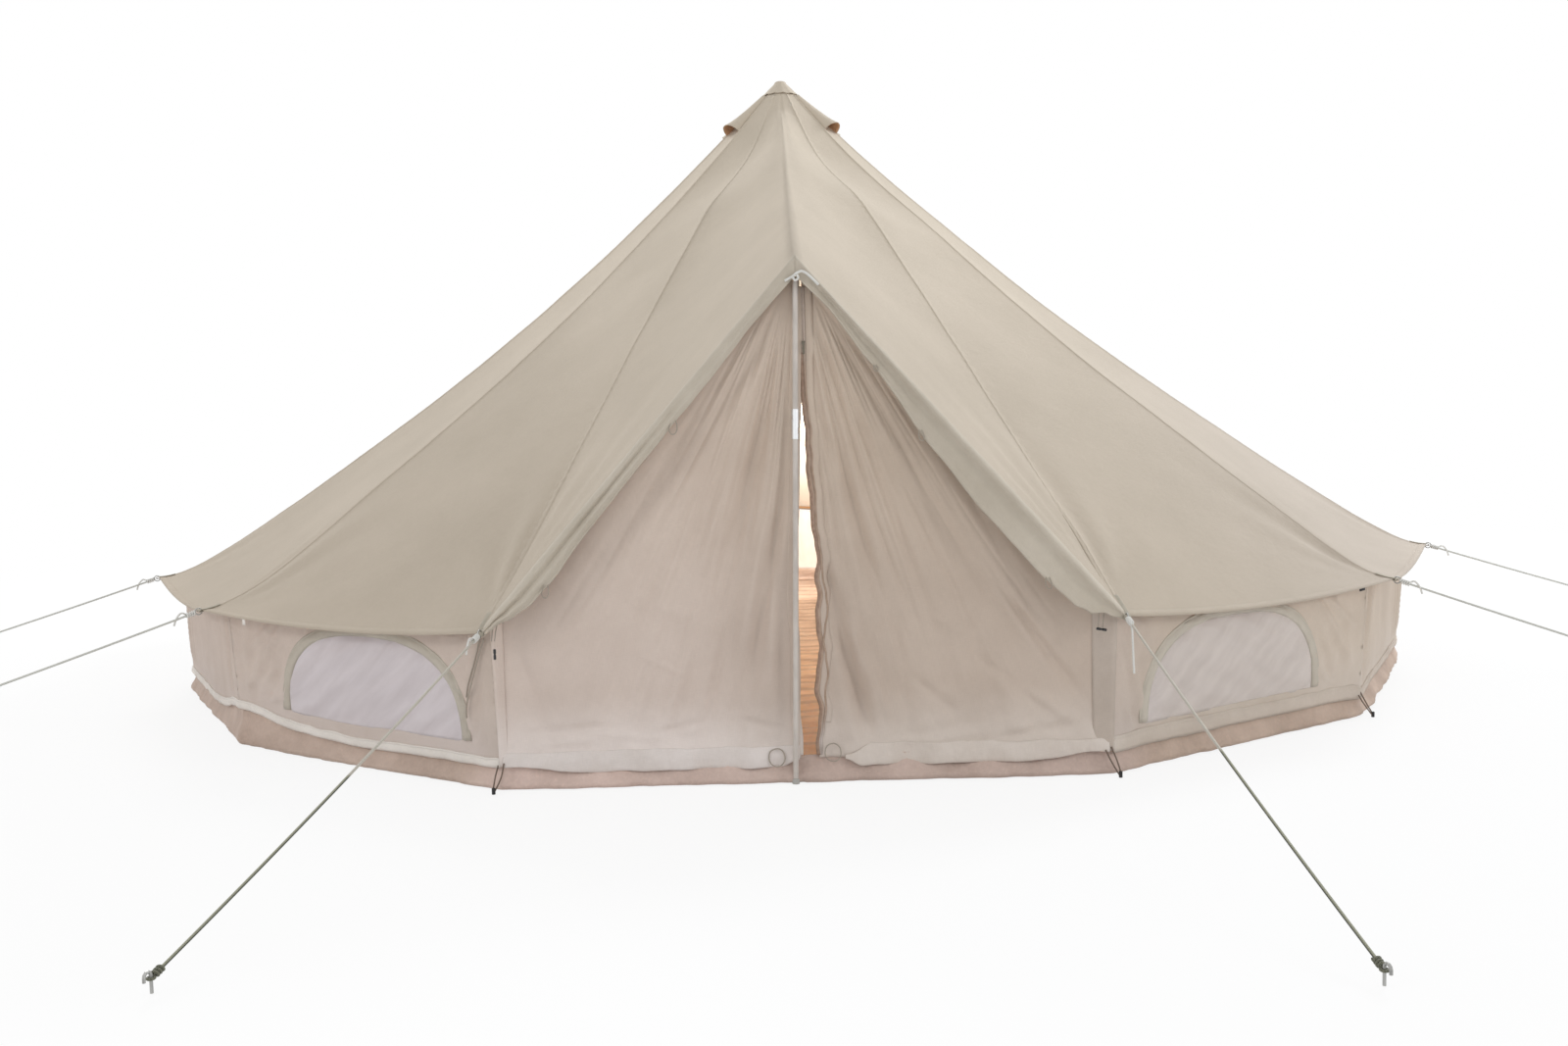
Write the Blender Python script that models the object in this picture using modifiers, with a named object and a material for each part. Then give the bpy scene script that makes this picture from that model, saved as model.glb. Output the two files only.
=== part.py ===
"""Glamping bell tent, pitched: canvas roof and walls on a centre pole, with an A-frame zipped door.

Frame: metres, +Z up. The origin is on the ground under the centre pole, and the door faces -Y.
An azimuth of 0 points at the door and grows towards +X.
"""

import math

import bmesh
import bpy
from mathutils import Matrix, Vector

# Plan and heights
BASE_RADIUS = 3.0           # centre pole to a corner of the wall at the ground
APEX_HEIGHT = 2.99          # ground to the top of the apex cap
PANEL_COUNT = 12            # roof gores and wall panels between the two door corners
DOOR_HALF_ANGLE = math.radians(19.83)
EAVE_RADIUS = 3.13          # centre pole to an eave corner
DOOR_EAVE_RADIUS = 3.09     # the same, at the two corners beside the door
EAVE_HEIGHT = 0.545
WALL_TOP_RADIUS = 3.03      # the walls lean out a little under the eave

# Cloth
CLOTH = 0.003               # canvas as it is modelled, hems and lining included
MESH_THICKNESS = 0.0015
SEAM_INSET = 0.0009         # half the gap between two sewn panels
RIDGE_INSET = 0.0022        # the same where the panels meet at a sharp ridge
CLEARANCE = 0.0006          # between cloth and what it lies against

# Roof form
ROOF_ROW_COUNT = 14
BAND_ROW_COUNT = 2
ROOF_TOP_RADIUS = 0.03
CAP_RISE = 0.02             # cap top above the top edge of the roof cloth
SEAM_SAG = 0.20             # the bell curve: drop of a seam below its chord, halfway
SIDE_SEAM_SAG = 0.168       # the same for the seams next to the door seams
DOOR_SEAM_SAG = -0.025      # the door pole lifts the two seams beside it straight
SEAMS_ALIKE = 0.09          # down to this share of a seam, all follow the same cone
SEAMS_APART = 0.35          # from this share on, each has its own sag in full
EAVE_KICK = 0.045           # extra drop just before a corner, where the guy rope lifts it
KICK_POWER = 12             # how close to the corner the kick sits
GORE_SAG = 0.03             # hollow of a gore between its seams
HEM_DROOP = 0.035           # the eave hangs this far between two corners
RIDGE_END_HEIGHT = 1.732
RIDGE_SAG = 0.08
RIDGE_LEAVES_CONE = 0.185   # distance from the axis at which the door ridge starts
HEM_BAND = 0.045            # width of the double band along the door opening, at its top
HEM_BAND_WIDEST = 0.08
HEM_BAND_END = 0.02         # the same at the eave corner
HEM_WIDEST_AT = 0.62        # share of the way down the opening

# Ground sheet
SHEET = 0.004
RIM_HEIGHT = 0.085
WALL_BOTTOM = 0.075         # the wall laps over the rim from here up

# Windows: arched, flat at the bottom, in the panels beside the door and two rear ones
WINDOW_PANELS = {"front_right": 0, "rear_right": 4, "rear_left": 7, "front_left": 11}
WINDOW_HALF_WIDTH = 0.455
WINDOW_SILL = 0.15
WINDOW_BELOW_EAVE = 0.06     # top of the arch to the height of the eave
WINDOW_HEIGHT = EAVE_HEIGHT - WINDOW_BELOW_EAVE - WINDOW_SILL
WINDOW_SQUARENESS = 2.6     # exponent of the arch: 2 is an ellipse
WINDOW_FROM_DOOR = 0.62     # door side corner to the window's middle
COVER_MARGIN = 0.012
COVER_THICKNESS = 0.002
COVER_STANDOFF = 0.004      # clear space between the wall and its inner cover

# Door
DOOR_INSET = 0.003          # from the sill line between the two door corners in to the door cloth
DOOR_TUCK = 0.018           # how far the door's slanted edge runs up behind the hem band
DOOR_BEHIND_POLE = 0.0125   # door pole's back to the middle of the door cloth
DOOR_SILL_GAP = 0.006       # door hem above the rim
DOOR_FOLD = 0.014           # depth of the hanging folds
DOOR_FOLD_COUNT = 6.5
DOOR_TOP_DROP = 0.03        # the hinge lines' meeting point to the top edge of a door
DOOR_TIP_WIDTH = 0.006      # width of a door at its top edge
LEFT_DOOR_EDGE = -0.008     # closed edge of the left door
RIGHT_DOOR_EDGE = 0.002
DOOR_GAP = 0.045            # how far the right door's free edge hangs open
ZIP_MEETS = 1.455           # height at which the two doors part
GAP_WIDEST = 0.65           # height of the widest opening between them
GAP_NARROWS = 0.012         # how much the gap closes again for the same fall below that
EDGE_WAVE = 0.003
EDGE_WAVE_RATE = 38

# Zip slider
SLIDER_WIDTH, SLIDER_DEPTH, SLIDER_HEIGHT = 0.011, 0.006, 0.016
SLIDER_X = 0.0225
PULL_LENGTH = 0.026

# Poles
CENTER_POLE_RADIUS = 0.019
POLE_WALL = 0.0015
CENTER_POLE_TOP = 2.90
CENTER_POLE_JOINT = 1.50
SPIGOT_LENGTH = 0.10
POLE_FIT = 0.0003           # radial gap between a spigot or sleeve and its tube
DOOR_POLE_RADIUS = 0.0095
DOOR_POLE_JOINT = 1.194
DOOR_POLE_TOP = RIDGE_END_HEIGHT - 0.077
DOOR_POLE_LEAN = 0.038      # the foot stands this far left of the top
DOOR_POLE_CLEAR = 0.010     # door pole's front to the hem band
SLEEVE_RADIUS = 0.0128
SLEEVE_LENGTH = 0.098
FOOT_HEIGHT = 0.03          # centre pole's rubber foot
FOOT_FLANGE = 0.028
FOOT_FLANGE_HEIGHT = 0.006
FOOT_WALL = 0.003
TIP_RADIUS = 0.024
TIP_PLUG = 0.04
PIN_RADIUS = 0.006
PIN_TOP_GAP = 0.012         # pin's end to the outside of the apex cap
DOOR_FOOT_RADIUS = 0.0125
DOOR_FOOT_HEIGHT = 0.018
DOOR_FOOT_PLUG = 0.03

# Apex cap
CAP_RADIUS = 0.095
CAP_LIFT = 1.3 * CLOTH + CLEARANCE      # measured upwards, on a slope of 47 degrees
CAP_RING_COUNT = 4
CROWN_ANGLES = (0.0, 0.4, 0.8, 1.2)     # of the rounded top, from its centre out

# Vent hoods
HOOD_GORES = (1, 3, 8, 10)
HOOD_START = 0.104          # centre pole axis to the narrow end, just below the cap
HOOD_END = 0.30
HOOD_MOUTH_RADIUS = 0.056
HOOD_TIP_RADIUS = 0.016

# Guy ropes: the corners that the picture shows them on, and where their pegs stand: the corner,
# the distance of the peg from the centre pole, and its turn from the corner's azimuth
ROPE_RADIUS = 0.004
ROPE_SAG = 0.012
ROPE_START = 0.022          # gap from the eave corner to the free rope
GUY_CORNERS = {
    "front_right": (0, 4.68, -0.096),
    "right": (1, 4.97, 0.028),
    "rear_right": (2, 4.88, 0.0),
    "rear_left": (10, 4.88, 0.0),
    "left": (11, 5.10, -0.026),
    "front_left": (12, 4.635, 0.025),
}
ROPE_POINT_COUNT = 21
PEG_RADIUS = 0.004
PEG_HEIGHT = 0.055
PEG_NOTCH = 0.034           # height at which the rope pulls on the peg
PEG_BEND = 0.010            # radius of the hook at its top
PEG_GROUND_GAP = 0.0004

# Toggles of the door tie-backs
TOGGLE_RADIUS = 0.0045
TOGGLE_LENGTH = 0.036
TOGGLE_WAIST = 0.004        # half the length of the groove that the cords sit in
TOGGLE_EDGE = 0.001
LEFT_TOGGLE_X, LEFT_TOGGLE_HEIGHT = -1.010, 0.470
RIGHT_TOGGLE_X, RIGHT_TOGGLE_HEIGHT = 0.972, 0.500
RIGHT_TOGGLE_TURN = math.radians(100)
TOGGLE_BEHIND_CORNER = 0.012

PANEL_ANGLE = (2 * math.pi - 2 * DOOR_HALF_ANGLE) / PANEL_COUNT
ROOF_TOP_HEIGHT = APEX_HEIGHT - CAP_RISE
RIM_RADIUS = BASE_RADIUS - (CLOTH / 2 + CLEARANCE) / math.cos(PANEL_ANGLE / 2)
DOOR_Y = DOOR_INSET - BASE_RADIUS * math.cos(DOOR_HALF_ANGLE)
DOOR_POLE_Y = DOOR_Y - DOOR_BEHIND_POLE - DOOR_POLE_RADIUS
# Centre pole to the front end of the door ridge
RIDGE_REACH = CLOTH / 2 + DOOR_POLE_CLEAR + DOOR_POLE_RADIUS - DOOR_POLE_Y


def clear_scene():
    for thing in list(bpy.data.objects):
        bpy.data.objects.remove(thing, do_unlink=True)
    for collection in list(bpy.data.collections):
        bpy.data.collections.remove(collection)


clear_scene()
tent = bpy.data.collections.new("bell_tent")
bpy.context.scene.collection.children.link(tent)


# Materials
def make_material(name, color, roughness, metallic=0.0):
    material = bpy.data.materials.new(name)
    material.use_nodes = True
    shader = material.node_tree.nodes["Principled BSDF"]
    shader.inputs["Base Color"].default_value = (*color, 1.0)
    shader.inputs["Roughness"].default_value = roughness
    shader.inputs["Metallic"].default_value = metallic
    return material


ROOF_CANVAS = make_material("roof_canvas", (0.55, 0.49, 0.39), 0.9)
WALL_CANVAS = make_material("wall_canvas", (0.50, 0.41, 0.33), 0.9)
DOOR_CANVAS = make_material("door_canvas", (0.50, 0.40, 0.33), 0.9)
LINING = make_material("window_lining", (0.62, 0.55, 0.47), 0.9)
NET = make_material("window_net", (0.62, 0.55, 0.54), 0.8)
GROUND_SHEET = make_material("ground_sheet", (0.33, 0.22, 0.18), 0.6)
STEEL = make_material("pole_steel", (0.62, 0.62, 0.60), 0.35, 1.0)
WHITE_STEEL = make_material("white_pole", (0.72, 0.71, 0.68), 0.4)
RUBBER = make_material("black_rubber", (0.03, 0.03, 0.03), 0.8)
ROPE = make_material("guy_rope", (0.45, 0.43, 0.34), 0.85)
PEG_STEEL = make_material("peg_steel", (0.45, 0.45, 0.44), 0.4, 1.0)
BLACK_PLASTIC = make_material("toggle_plastic", (0.02, 0.02, 0.02), 0.4)
ZINC = make_material("zip_metal", (0.55, 0.54, 0.50), 0.35, 1.0)


# Builders shared by several pieces
def add_object(name, data, material):
    piece = bpy.data.objects.new(name, data)
    data.materials.append(material)
    tent.objects.link(piece)
    return piece


def give_thickness(piece, thickness, offset=0.0):
    wall = piece.modifiers.new("thickness", "SOLIDIFY")
    wall.thickness = thickness
    wall.offset = offset
    return wall


def cloth_sheet(name, columns, rows, place, material, thickness=CLOTH):
    """A grid of cloth: place(u, v) gives the point for u and v from 0 to 1."""
    mesh = bpy.data.meshes.new(name)
    grid = bmesh.new()
    bmesh.ops.create_grid(grid, x_segments=columns, y_segments=rows, size=0.5)
    for vertex in grid.verts:
        vertex.co = place(vertex.co.x + 0.5, vertex.co.y + 0.5)
    grid.to_mesh(mesh)
    grid.free()
    piece = add_object(name, mesh, material)
    give_thickness(piece, thickness)
    return piece


def flat_panel(name, outlines, thickness, placing, material):
    """A flat outline, with any further outlines cut out of it, given a thickness."""
    curve = bpy.data.curves.new(name, "CURVE")
    curve.dimensions = "2D"
    curve.fill_mode = "BOTH"
    curve.extrude = thickness / 2
    for outline in outlines:
        spline = curve.splines.new("POLY")
        spline.points.add(len(outline) - 1)
        for point, (x, y) in zip(spline.points, outline):
            point.co = (x, y, 0.0, 1.0)
        spline.use_cyclic_u = True
    piece = add_object(name, curve, material)
    piece.matrix_world = placing
    return piece


def turned(name, profile, material, placing=Matrix(), steps=24, closed=False):
    """A profile of (radius, height) pairs, top to bottom on its outer side, turned about Z."""
    mesh = bpy.data.meshes.new(name)
    outline = bmesh.new()
    points = [outline.verts.new((radius, 0.0, height)) for radius, height in profile]
    for first, second in zip(points, points[1:]):
        outline.edges.new((first, second))
    if closed:
        outline.edges.new((points[-1], points[0]))
    outline.to_mesh(mesh)
    outline.free()
    piece = add_object(name, mesh, material)
    spin = piece.modifiers.new("turn", "SCREW")
    spin.steps = steps
    spin.render_steps = steps
    spin.use_merge_vertices = True
    spin.merge_threshold = 0.00001
    piece.matrix_world = placing
    mesh.shade_smooth()
    mesh.set_sharp_from_angle(angle=math.radians(30))
    return piece


def rope_tube(name, points, radius, material, resolution=2):
    curve = bpy.data.curves.new(name, "CURVE")
    curve.dimensions = "3D"
    curve.bevel_depth = radius
    curve.bevel_resolution = resolution
    curve.use_fill_caps = True
    spline = curve.splines.new("POLY")
    spline.points.add(len(points) - 1)
    for point, place in zip(spline.points, points):
        point.co = (*place, 1.0)
    return add_object(name, curve, material)


# Plan geometry
def corner_azimuth(index):
    """Corner 0 is right of the door, and corner PANEL_COUNT is left of it."""
    return DOOR_HALF_ANGLE + index * PANEL_ANGLE


def around(azimuth, radius, height=0.0):
    return Vector((radius * math.sin(azimuth), -radius * math.cos(azimuth), height))


def hollow(w):
    """0 at both ends of a span and 1 in its middle."""
    return 4 * w * (1 - w)


def eave_reach(index):
    return DOOR_EAVE_RADIUS if index in (0, PANEL_COUNT) else EAVE_RADIUS


def smooth(t):
    t = min(max(t, 0.0), 1.0)
    return t * t * (3 - 2 * t)


def seam_height(s, index=PANEL_COUNT // 2):
    """Height of a roof seam at s, from 0 at the apex to 1 at the eave corner."""
    from_door = min(index, PANEL_COUNT - index)
    own_sag = {0: DOOR_SEAM_SAG, 1: SIDE_SEAM_SAG}.get(from_door, SEAM_SAG)
    apart = smooth((s - SEAMS_ALIKE) / (SEAMS_APART - SEAMS_ALIKE))
    sag = SEAM_SAG + (own_sag - SEAM_SAG) * apart
    kick = 0.0 if from_door == 0 else EAVE_KICK
    peak = KICK_POWER ** KICK_POWER / (KICK_POWER + 1) ** (KICK_POWER + 1)
    straight = ROOF_TOP_HEIGHT + (EAVE_HEIGHT - ROOF_TOP_HEIGHT) * s
    return straight - sag * hollow(s) - kick * s ** KICK_POWER * (1 - s) / peak


def seam_point(index, s):
    reach = ROOF_TOP_RADIUS + (eave_reach(index) - ROOF_TOP_RADIUS) * s
    return around(corner_azimuth(index), reach, seam_height(s, index))


def gore_point(index, w, s):
    """A point on gore index, w across it and s down it."""
    point = seam_point(index, s).lerp(seam_point(index + 1, s), w)
    point.z -= hollow(w) * (GORE_SAG * math.sin(math.pi * s) ** 2 + HEM_DROOP * s ** 6)
    return point


def wall_corner(index, height):
    top = WALL_TOP_RADIUS - BASE_RADIUS
    return around(corner_azimuth(index), BASE_RADIUS + top * height / EAVE_HEIGHT, height)


def share_at(radius, reach=EAVE_RADIUS):
    """How far down a seam, from 0 to 1, it passes a distance from the centre pole."""
    return (radius - ROOF_TOP_RADIUS) / (reach - ROOF_TOP_RADIUS)


def roof_over(index, place):
    """Height of the roof of a gore above a place near the eave."""
    inner, outer = 0.8, 1.0
    for _ in range(30):
        s = (inner + outer) / 2
        left, right = seam_point(index, s), seam_point(index + 1, s)
        if (right - left).cross(place - left).z > 0:
            outer = s
        else:
            inner = s
    along = (right - left).xy
    return gore_point(index, (place - left).xy.dot(along) / along.length_squared, s).z


def wall_top_height(index, w):
    """Where the wall cloth stops under the roof."""
    ends = [wall_corner(corner, EAVE_HEIGHT) for corner in (index, index + 1)]
    return roof_over(index, ends[0].lerp(ends[1], w)) - 2 * CLOTH - CLEARANCE


# Roof: rows of the cloth lie closer together at the apex and at the eave
def row_share(row):
    return (1 - math.cos(math.pi * row / ROOF_ROW_COUNT)) / 2


def inset_share(w, s, index, count):
    """Pull the two outer edges of a run of gores back from their seams."""
    chord = (seam_point(index, s) - seam_point(index + 1, s)).length
    share = SEAM_INSET / chord
    return min(max(w, share), count - share)


def roof_pair(name, first):
    """Two neighbouring gores, sewn on the seam between them."""
    def place(u, v):
        s = row_share(round(v * ROOF_ROW_COUNT))
        across = inset_share(2 * u, s, first, 2)
        gore = min(int(across), 1)
        return gore_point(first + gore, across - gore, s)

    return cloth_sheet(name, 8, ROOF_ROW_COUNT, place, ROOF_CANVAS)


ROOF_PAIRS = {
    "roof_right_front": 0,
    "roof_right": 2,
    "roof_right_rear": 4,
    "roof_left_rear": 6,
    "roof_left": 8,
    "roof_left_front": 10,
}
for pair_name, first_gore in ROOF_PAIRS.items():
    roof_pair(pair_name, first_gore)


def cone_height(radius):
    """Height of the roof seams at a distance from the centre pole."""
    return seam_height(share_at(radius))


def ridge_point(s):
    """The ridge to the top of the door: it leaves the cone a little below the apex."""
    reach = ROOF_TOP_RADIUS + (RIDGE_REACH - ROOF_TOP_RADIUS) * s
    if reach < RIDGE_LEAVES_CONE:
        return Vector((0.0, -reach, cone_height(reach)))
    along = (reach - RIDGE_LEAVES_CONE) / (RIDGE_REACH - RIDGE_LEAVES_CONE)
    start = cone_height(RIDGE_LEAVES_CONE)
    height = start + (RIDGE_END_HEIGHT - start) * along - RIDGE_SAG * hollow(along)
    return Vector((0.0, -reach, height))


def mirrored(point, side):
    return Vector((abs(point.x) * side, point.y, point.z))


DOOR_CORNER = seam_point(0, 1.0)
HEM_RUN = (DOOR_CORNER - ridge_point(1.0)).normalized()
HEM_INWARD = Vector((HEM_RUN.z, 0.0, -HEM_RUN.x)).normalized()


def hem_band(w):
    """Width of the double band at w along the door opening, from its top to the eave corner."""
    if w < HEM_WIDEST_AT:
        return HEM_BAND + (HEM_BAND_WIDEST - HEM_BAND) * smooth(w / HEM_WIDEST_AT)
    closing = ((w - HEM_WIDEST_AT) / (1 - HEM_WIDEST_AT)) ** 3
    return HEM_BAND_WIDEST + (HEM_BAND_END - HEM_BAND_WIDEST) * closing


def hem_point(w, down=0.0):
    """w along the door opening from its top to the eave corner, down towards the door."""
    top = ridge_point(1.0) - Vector((0.0, 0.0, down / -HEM_INWARD.z))
    bottom = DOOR_CORNER + HEM_INWARD * down
    return top.lerp(bottom, w)


def door_roof(name, side):
    """The roof between the ridge and a door seam, ending in the double band of the opening."""
    rows = ROOF_ROW_COUNT + BAND_ROW_COUNT

    def place(u, v):
        row = round(v * rows)
        if row <= ROOF_ROW_COUNT:
            s = row_share(row)
            point = ridge_point(s).lerp(seam_point(0, s), u)
            point.z -= GORE_SAG * hollow(u) * math.sin(math.pi * s) ** 2
        else:
            point = hem_point(u, hem_band(u) * (row - ROOF_ROW_COUNT) / BAND_ROW_COUNT)
        point.x += RIDGE_INSET * (1 - u) - SEAM_INSET * u
        return mirrored(point, side)

    return cloth_sheet(name, 10, rows, place, ROOF_CANVAS)


door_roof("roof_door_right", 1)
door_roof("roof_door_left", -1)


# Apex cap: a small cone of doubled cloth over the top of the roof
def cap_profile():
    stations = [ROOF_TOP_RADIUS + (CAP_RADIUS - ROOF_TOP_RADIUS) * n / CAP_RING_COUNT
                for n in range(CAP_RING_COUNT + 1)]
    under = []
    for radius in stations:
        under.append((radius, cone_height(radius) + CAP_LIFT))
    shoulder = under[0][1] + CLOTH
    crown = [(ROOF_TOP_RADIUS * math.sin(a), shoulder + (APEX_HEIGHT - shoulder) * math.cos(a))
             for a in CROWN_ANGLES]
    over = [(radius, height + CLOTH) for radius, height in under]
    inner_crown = [(radius, height - CLOTH) for radius, height in reversed(crown)]
    return crown + over + list(reversed(under)) + inner_crown


turned("apex_cap", cap_profile(), ROOF_CANVAS, steps=26)


# Vent hoods: half cones of canvas with a stiff mouth, one on each of four gores
def vent_hood(name, gore):
    start_s, end_s = share_at(HOOD_START), share_at(HOOD_END)
    start, end = gore_point(gore, 0.5, start_s), gore_point(gore, 0.5, end_s)
    down = (end - start).normalized()
    across = seam_point(gore, end_s) - seam_point(gore + 1, end_s)
    leg = gore_point(gore, 0.5 - HOOD_MOUTH_RADIUS / across.length, end_s)
    out = across.normalized().cross(down)
    if out.z < 0:
        out.negate()
    lift = (leg - end).dot(out) + CLOTH + CLEARANCE * 2
    length = (end - start).length
    mesh = bpy.data.meshes.new(name)
    cone = bmesh.new()
    bmesh.ops.create_cone(cone, cap_ends=False, segments=20, radius1=HOOD_TIP_RADIUS,
                          radius2=HOOD_MOUTH_RADIUS, depth=length)
    whole = cone.verts[:] + cone.edges[:] + cone.faces[:]
    bmesh.ops.bisect_plane(cone, geom=whole, plane_co=(0, 0, 0), plane_no=(0, 1, 0),
                           clear_inner=True)
    cone.to_mesh(mesh)
    cone.free()
    piece = add_object(name, mesh, ROOF_CANVAS)
    give_thickness(piece, CLOTH)
    rotation = Matrix((out.cross(down), out, down)).transposed().to_4x4()
    piece.matrix_world = Matrix.Translation(start.lerp(end, 0.5) + out * lift) @ rotation
    mesh.shade_smooth()
    return piece


for hood_number, hood_gore in enumerate(HOOD_GORES, start=1):
    vent_hood(f"vent_hood_{hood_number}", hood_gore)


# Walls, windows and window covers
def wall_frame(index):
    """Placing of a wall panel: X along it, Y up its slope, Z out of the tent."""
    left, right = wall_corner(index, 0.0), wall_corner(index + 1, 0.0)
    top = wall_corner(index, EAVE_HEIGHT).lerp(wall_corner(index + 1, EAVE_HEIGHT), 0.5)
    middle = left.lerp(right, 0.5)
    along = (right - left).normalized()
    up = (top - middle).normalized()
    out = along.cross(up)
    rotation = Matrix((along, up, out)).transposed().to_4x4()
    return Matrix.Translation(middle) @ rotation, middle, along, up, out


def on_wall(index, point):
    placing, middle, along, up, out = wall_frame(index)
    offset = point - middle
    return offset.dot(along), offset.dot(up)


def wall_outline(index, top_points=14):
    _, _, _, up, _ = wall_frame(index)
    lean = 1.0 / up.z
    ends = []
    for corner, sign in ((index, 1), (index + 1, -1)):
        x, y = on_wall(index, wall_corner(corner, WALL_BOTTOM))
        ends.append((x + sign * SEAM_INSET, y))
    outline = [ends[0], ends[1]]
    for step in range(top_points + 1):
        w = 1 - step / top_points
        height = wall_top_height(index, w)
        corner = wall_corner(index, height).lerp(wall_corner(index + 1, height), w)
        x, _ = on_wall(index, corner)
        inset = SEAM_INSET * (-1 if step == 0 else 1 if step == top_points else 0)
        outline.append((x + inset, height * lean))
    return outline


def window_middle(index):
    """The window sits nearer to the door, so its offset changes sign from side to side."""
    chord = (wall_corner(index, 0.0) - wall_corner(index + 1, 0.0)).length
    offset = chord / 2 - WINDOW_FROM_DOOR
    return -offset if index < PANEL_COUNT / 2 else offset


def window_outline(index, grow=0.0, points=26):
    middle = window_middle(index)
    outline = []
    for step in range(points + 1):
        angle = math.pi * step / points
        x = abs(math.cos(angle)) ** (2 / WINDOW_SQUARENESS)
        y = abs(math.sin(angle)) ** (2 / WINDOW_SQUARENESS)
        x = math.copysign(x, math.cos(angle))
        outline.append((middle + x * (WINDOW_HALF_WIDTH + grow),
                        WINDOW_SILL - grow + y * (WINDOW_HEIGHT + 2 * grow)))
    return outline


for panel in range(PANEL_COUNT):
    outlines = [wall_outline(panel)]
    if panel in WINDOW_PANELS.values():
        outlines.append(window_outline(panel))
    flat_panel(f"wall_{panel + 1:02d}", outlines, CLOTH, wall_frame(panel)[0], WALL_CANVAS)

for window, panel in WINDOW_PANELS.items():
    placing, _, _, _, out = wall_frame(panel)
    flat_panel(f"window_net_{window}", [window_outline(panel, grow=-CLEARANCE)],
               MESH_THICKNESS, placing, NET)
    inward = CLOTH / 2 + COVER_STANDOFF + COVER_THICKNESS / 2
    cover_place = Matrix.Translation(-out * inward) @ placing
    flat_panel(f"window_cover_{window}", [window_outline(panel, grow=COVER_MARGIN)],
               COVER_THICKNESS, cover_place, LINING)


# Ground sheet: one tray with its rim turned up behind the walls
def plan_angle(place):
    return math.atan2(place.x, -place.y) % math.tau


def ground_sheet():
    corners = [around(corner_azimuth(index), RIM_RADIUS) for index in range(PANEL_COUNT + 1)]
    mesh = bpy.data.meshes.new("groundsheet")
    tray = bmesh.new()
    bmesh.ops.create_circle(tray, cap_ends=True, segments=len(corners), radius=RIM_RADIUS)
    ring = sorted(tray.verts, key=lambda vertex: plan_angle(vertex.co))
    for vertex, corner in zip(ring, sorted(corners, key=plan_angle)):
        vertex.co = corner
    raised = bmesh.ops.extrude_edge_only(tray, edges=tray.edges[:])
    rim = [item for item in raised["geom"] if isinstance(item, bmesh.types.BMVert)]
    bmesh.ops.translate(tray, verts=rim, vec=(0, 0, RIM_HEIGHT))
    bmesh.ops.recalc_face_normals(tray, faces=tray.faces[:])
    floor = max(tray.faces, key=lambda face: len(face.verts))
    if floor.normal.z > 0:
        bmesh.ops.reverse_faces(tray, faces=tray.faces[:])
    tray.to_mesh(mesh)
    tray.free()
    piece = add_object("groundsheet", mesh, GROUND_SHEET)
    wall = give_thickness(piece, SHEET, offset=-1.0)
    wall.use_even_offset = True
    return piece


ground_sheet()


# Doors: two hanging curtains that meet at the zip and hinge on the slanted sides of the opening
def door_hinge(side):
    """The top and bottom of a door's slanted edge, which is its hinge line."""
    top, bottom = hem_point(0.0, HEM_BAND - DOOR_TUCK), hem_point(1.0, HEM_BAND - DOOR_TUCK)
    top, bottom = mirrored(top, side), mirrored(bottom, side)
    top.y = bottom.y = DOOR_Y
    return top, bottom


def door_outer_x(height):
    """Outer edge of a door: the slanted hinge line, then upright beside the wall."""
    top, bottom = door_hinge(1)
    upright = wall_corner(0, 0.0).x - CLOTH - CLEARANCE
    slanted = top.x + (top.z - height) * (bottom.x - top.x) / (top.z - bottom.z)
    return min(slanted, upright)


def right_free_edge(height):
    """The right door's zip edge hangs open and wavy below the point where the zip is closed."""
    if height > ZIP_MEETS:
        return RIGHT_DOOR_EDGE
    fall = (ZIP_MEETS - height) / (ZIP_MEETS - GAP_WIDEST)
    opening = DOOR_GAP * math.sin(min(fall, 1.0) * math.pi / 2) ** 1.4
    if fall > 1.0:
        opening -= GAP_NARROWS * (fall - 1.0)
    wave = EDGE_WAVE * math.sin(height * EDGE_WAVE_RATE) * min(fall, 1.0)
    return RIGHT_DOOR_EDGE + opening + wave


def door(name, side, columns=24, rows=18):
    top, _ = door_hinge(side)
    bottom_height = RIM_HEIGHT + DOOR_SILL_GAP
    top_height = top.z - DOOR_TOP_DROP

    def place(u, v):
        height = top_height + (bottom_height - top_height) * v
        inner = right_free_edge(height) if side > 0 else -LEFT_DOOR_EDGE
        outer = max(door_outer_x(height), inner + DOOR_TIP_WIDTH)
        x = inner + (outer - inner) * u
        swing = math.atan2(x, top.z - height) / math.atan2(outer, top.z - height)
        from_zip = math.sin(math.pi * min(u * 3, 0.5)) ** 2
        from_wall = math.sin(math.pi * min((1 - u) * 2.5, 0.5))
        fold = math.sin(swing * DOOR_FOLD_COUNT * math.pi)
        depth = DOOR_FOLD * v * from_zip * from_wall * fold
        return Vector((side * x, DOOR_Y + depth, height))

    return cloth_sheet(name, columns, rows, place, DOOR_CANVAS)


door("door_left", -1)
door("door_right", 1)


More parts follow.
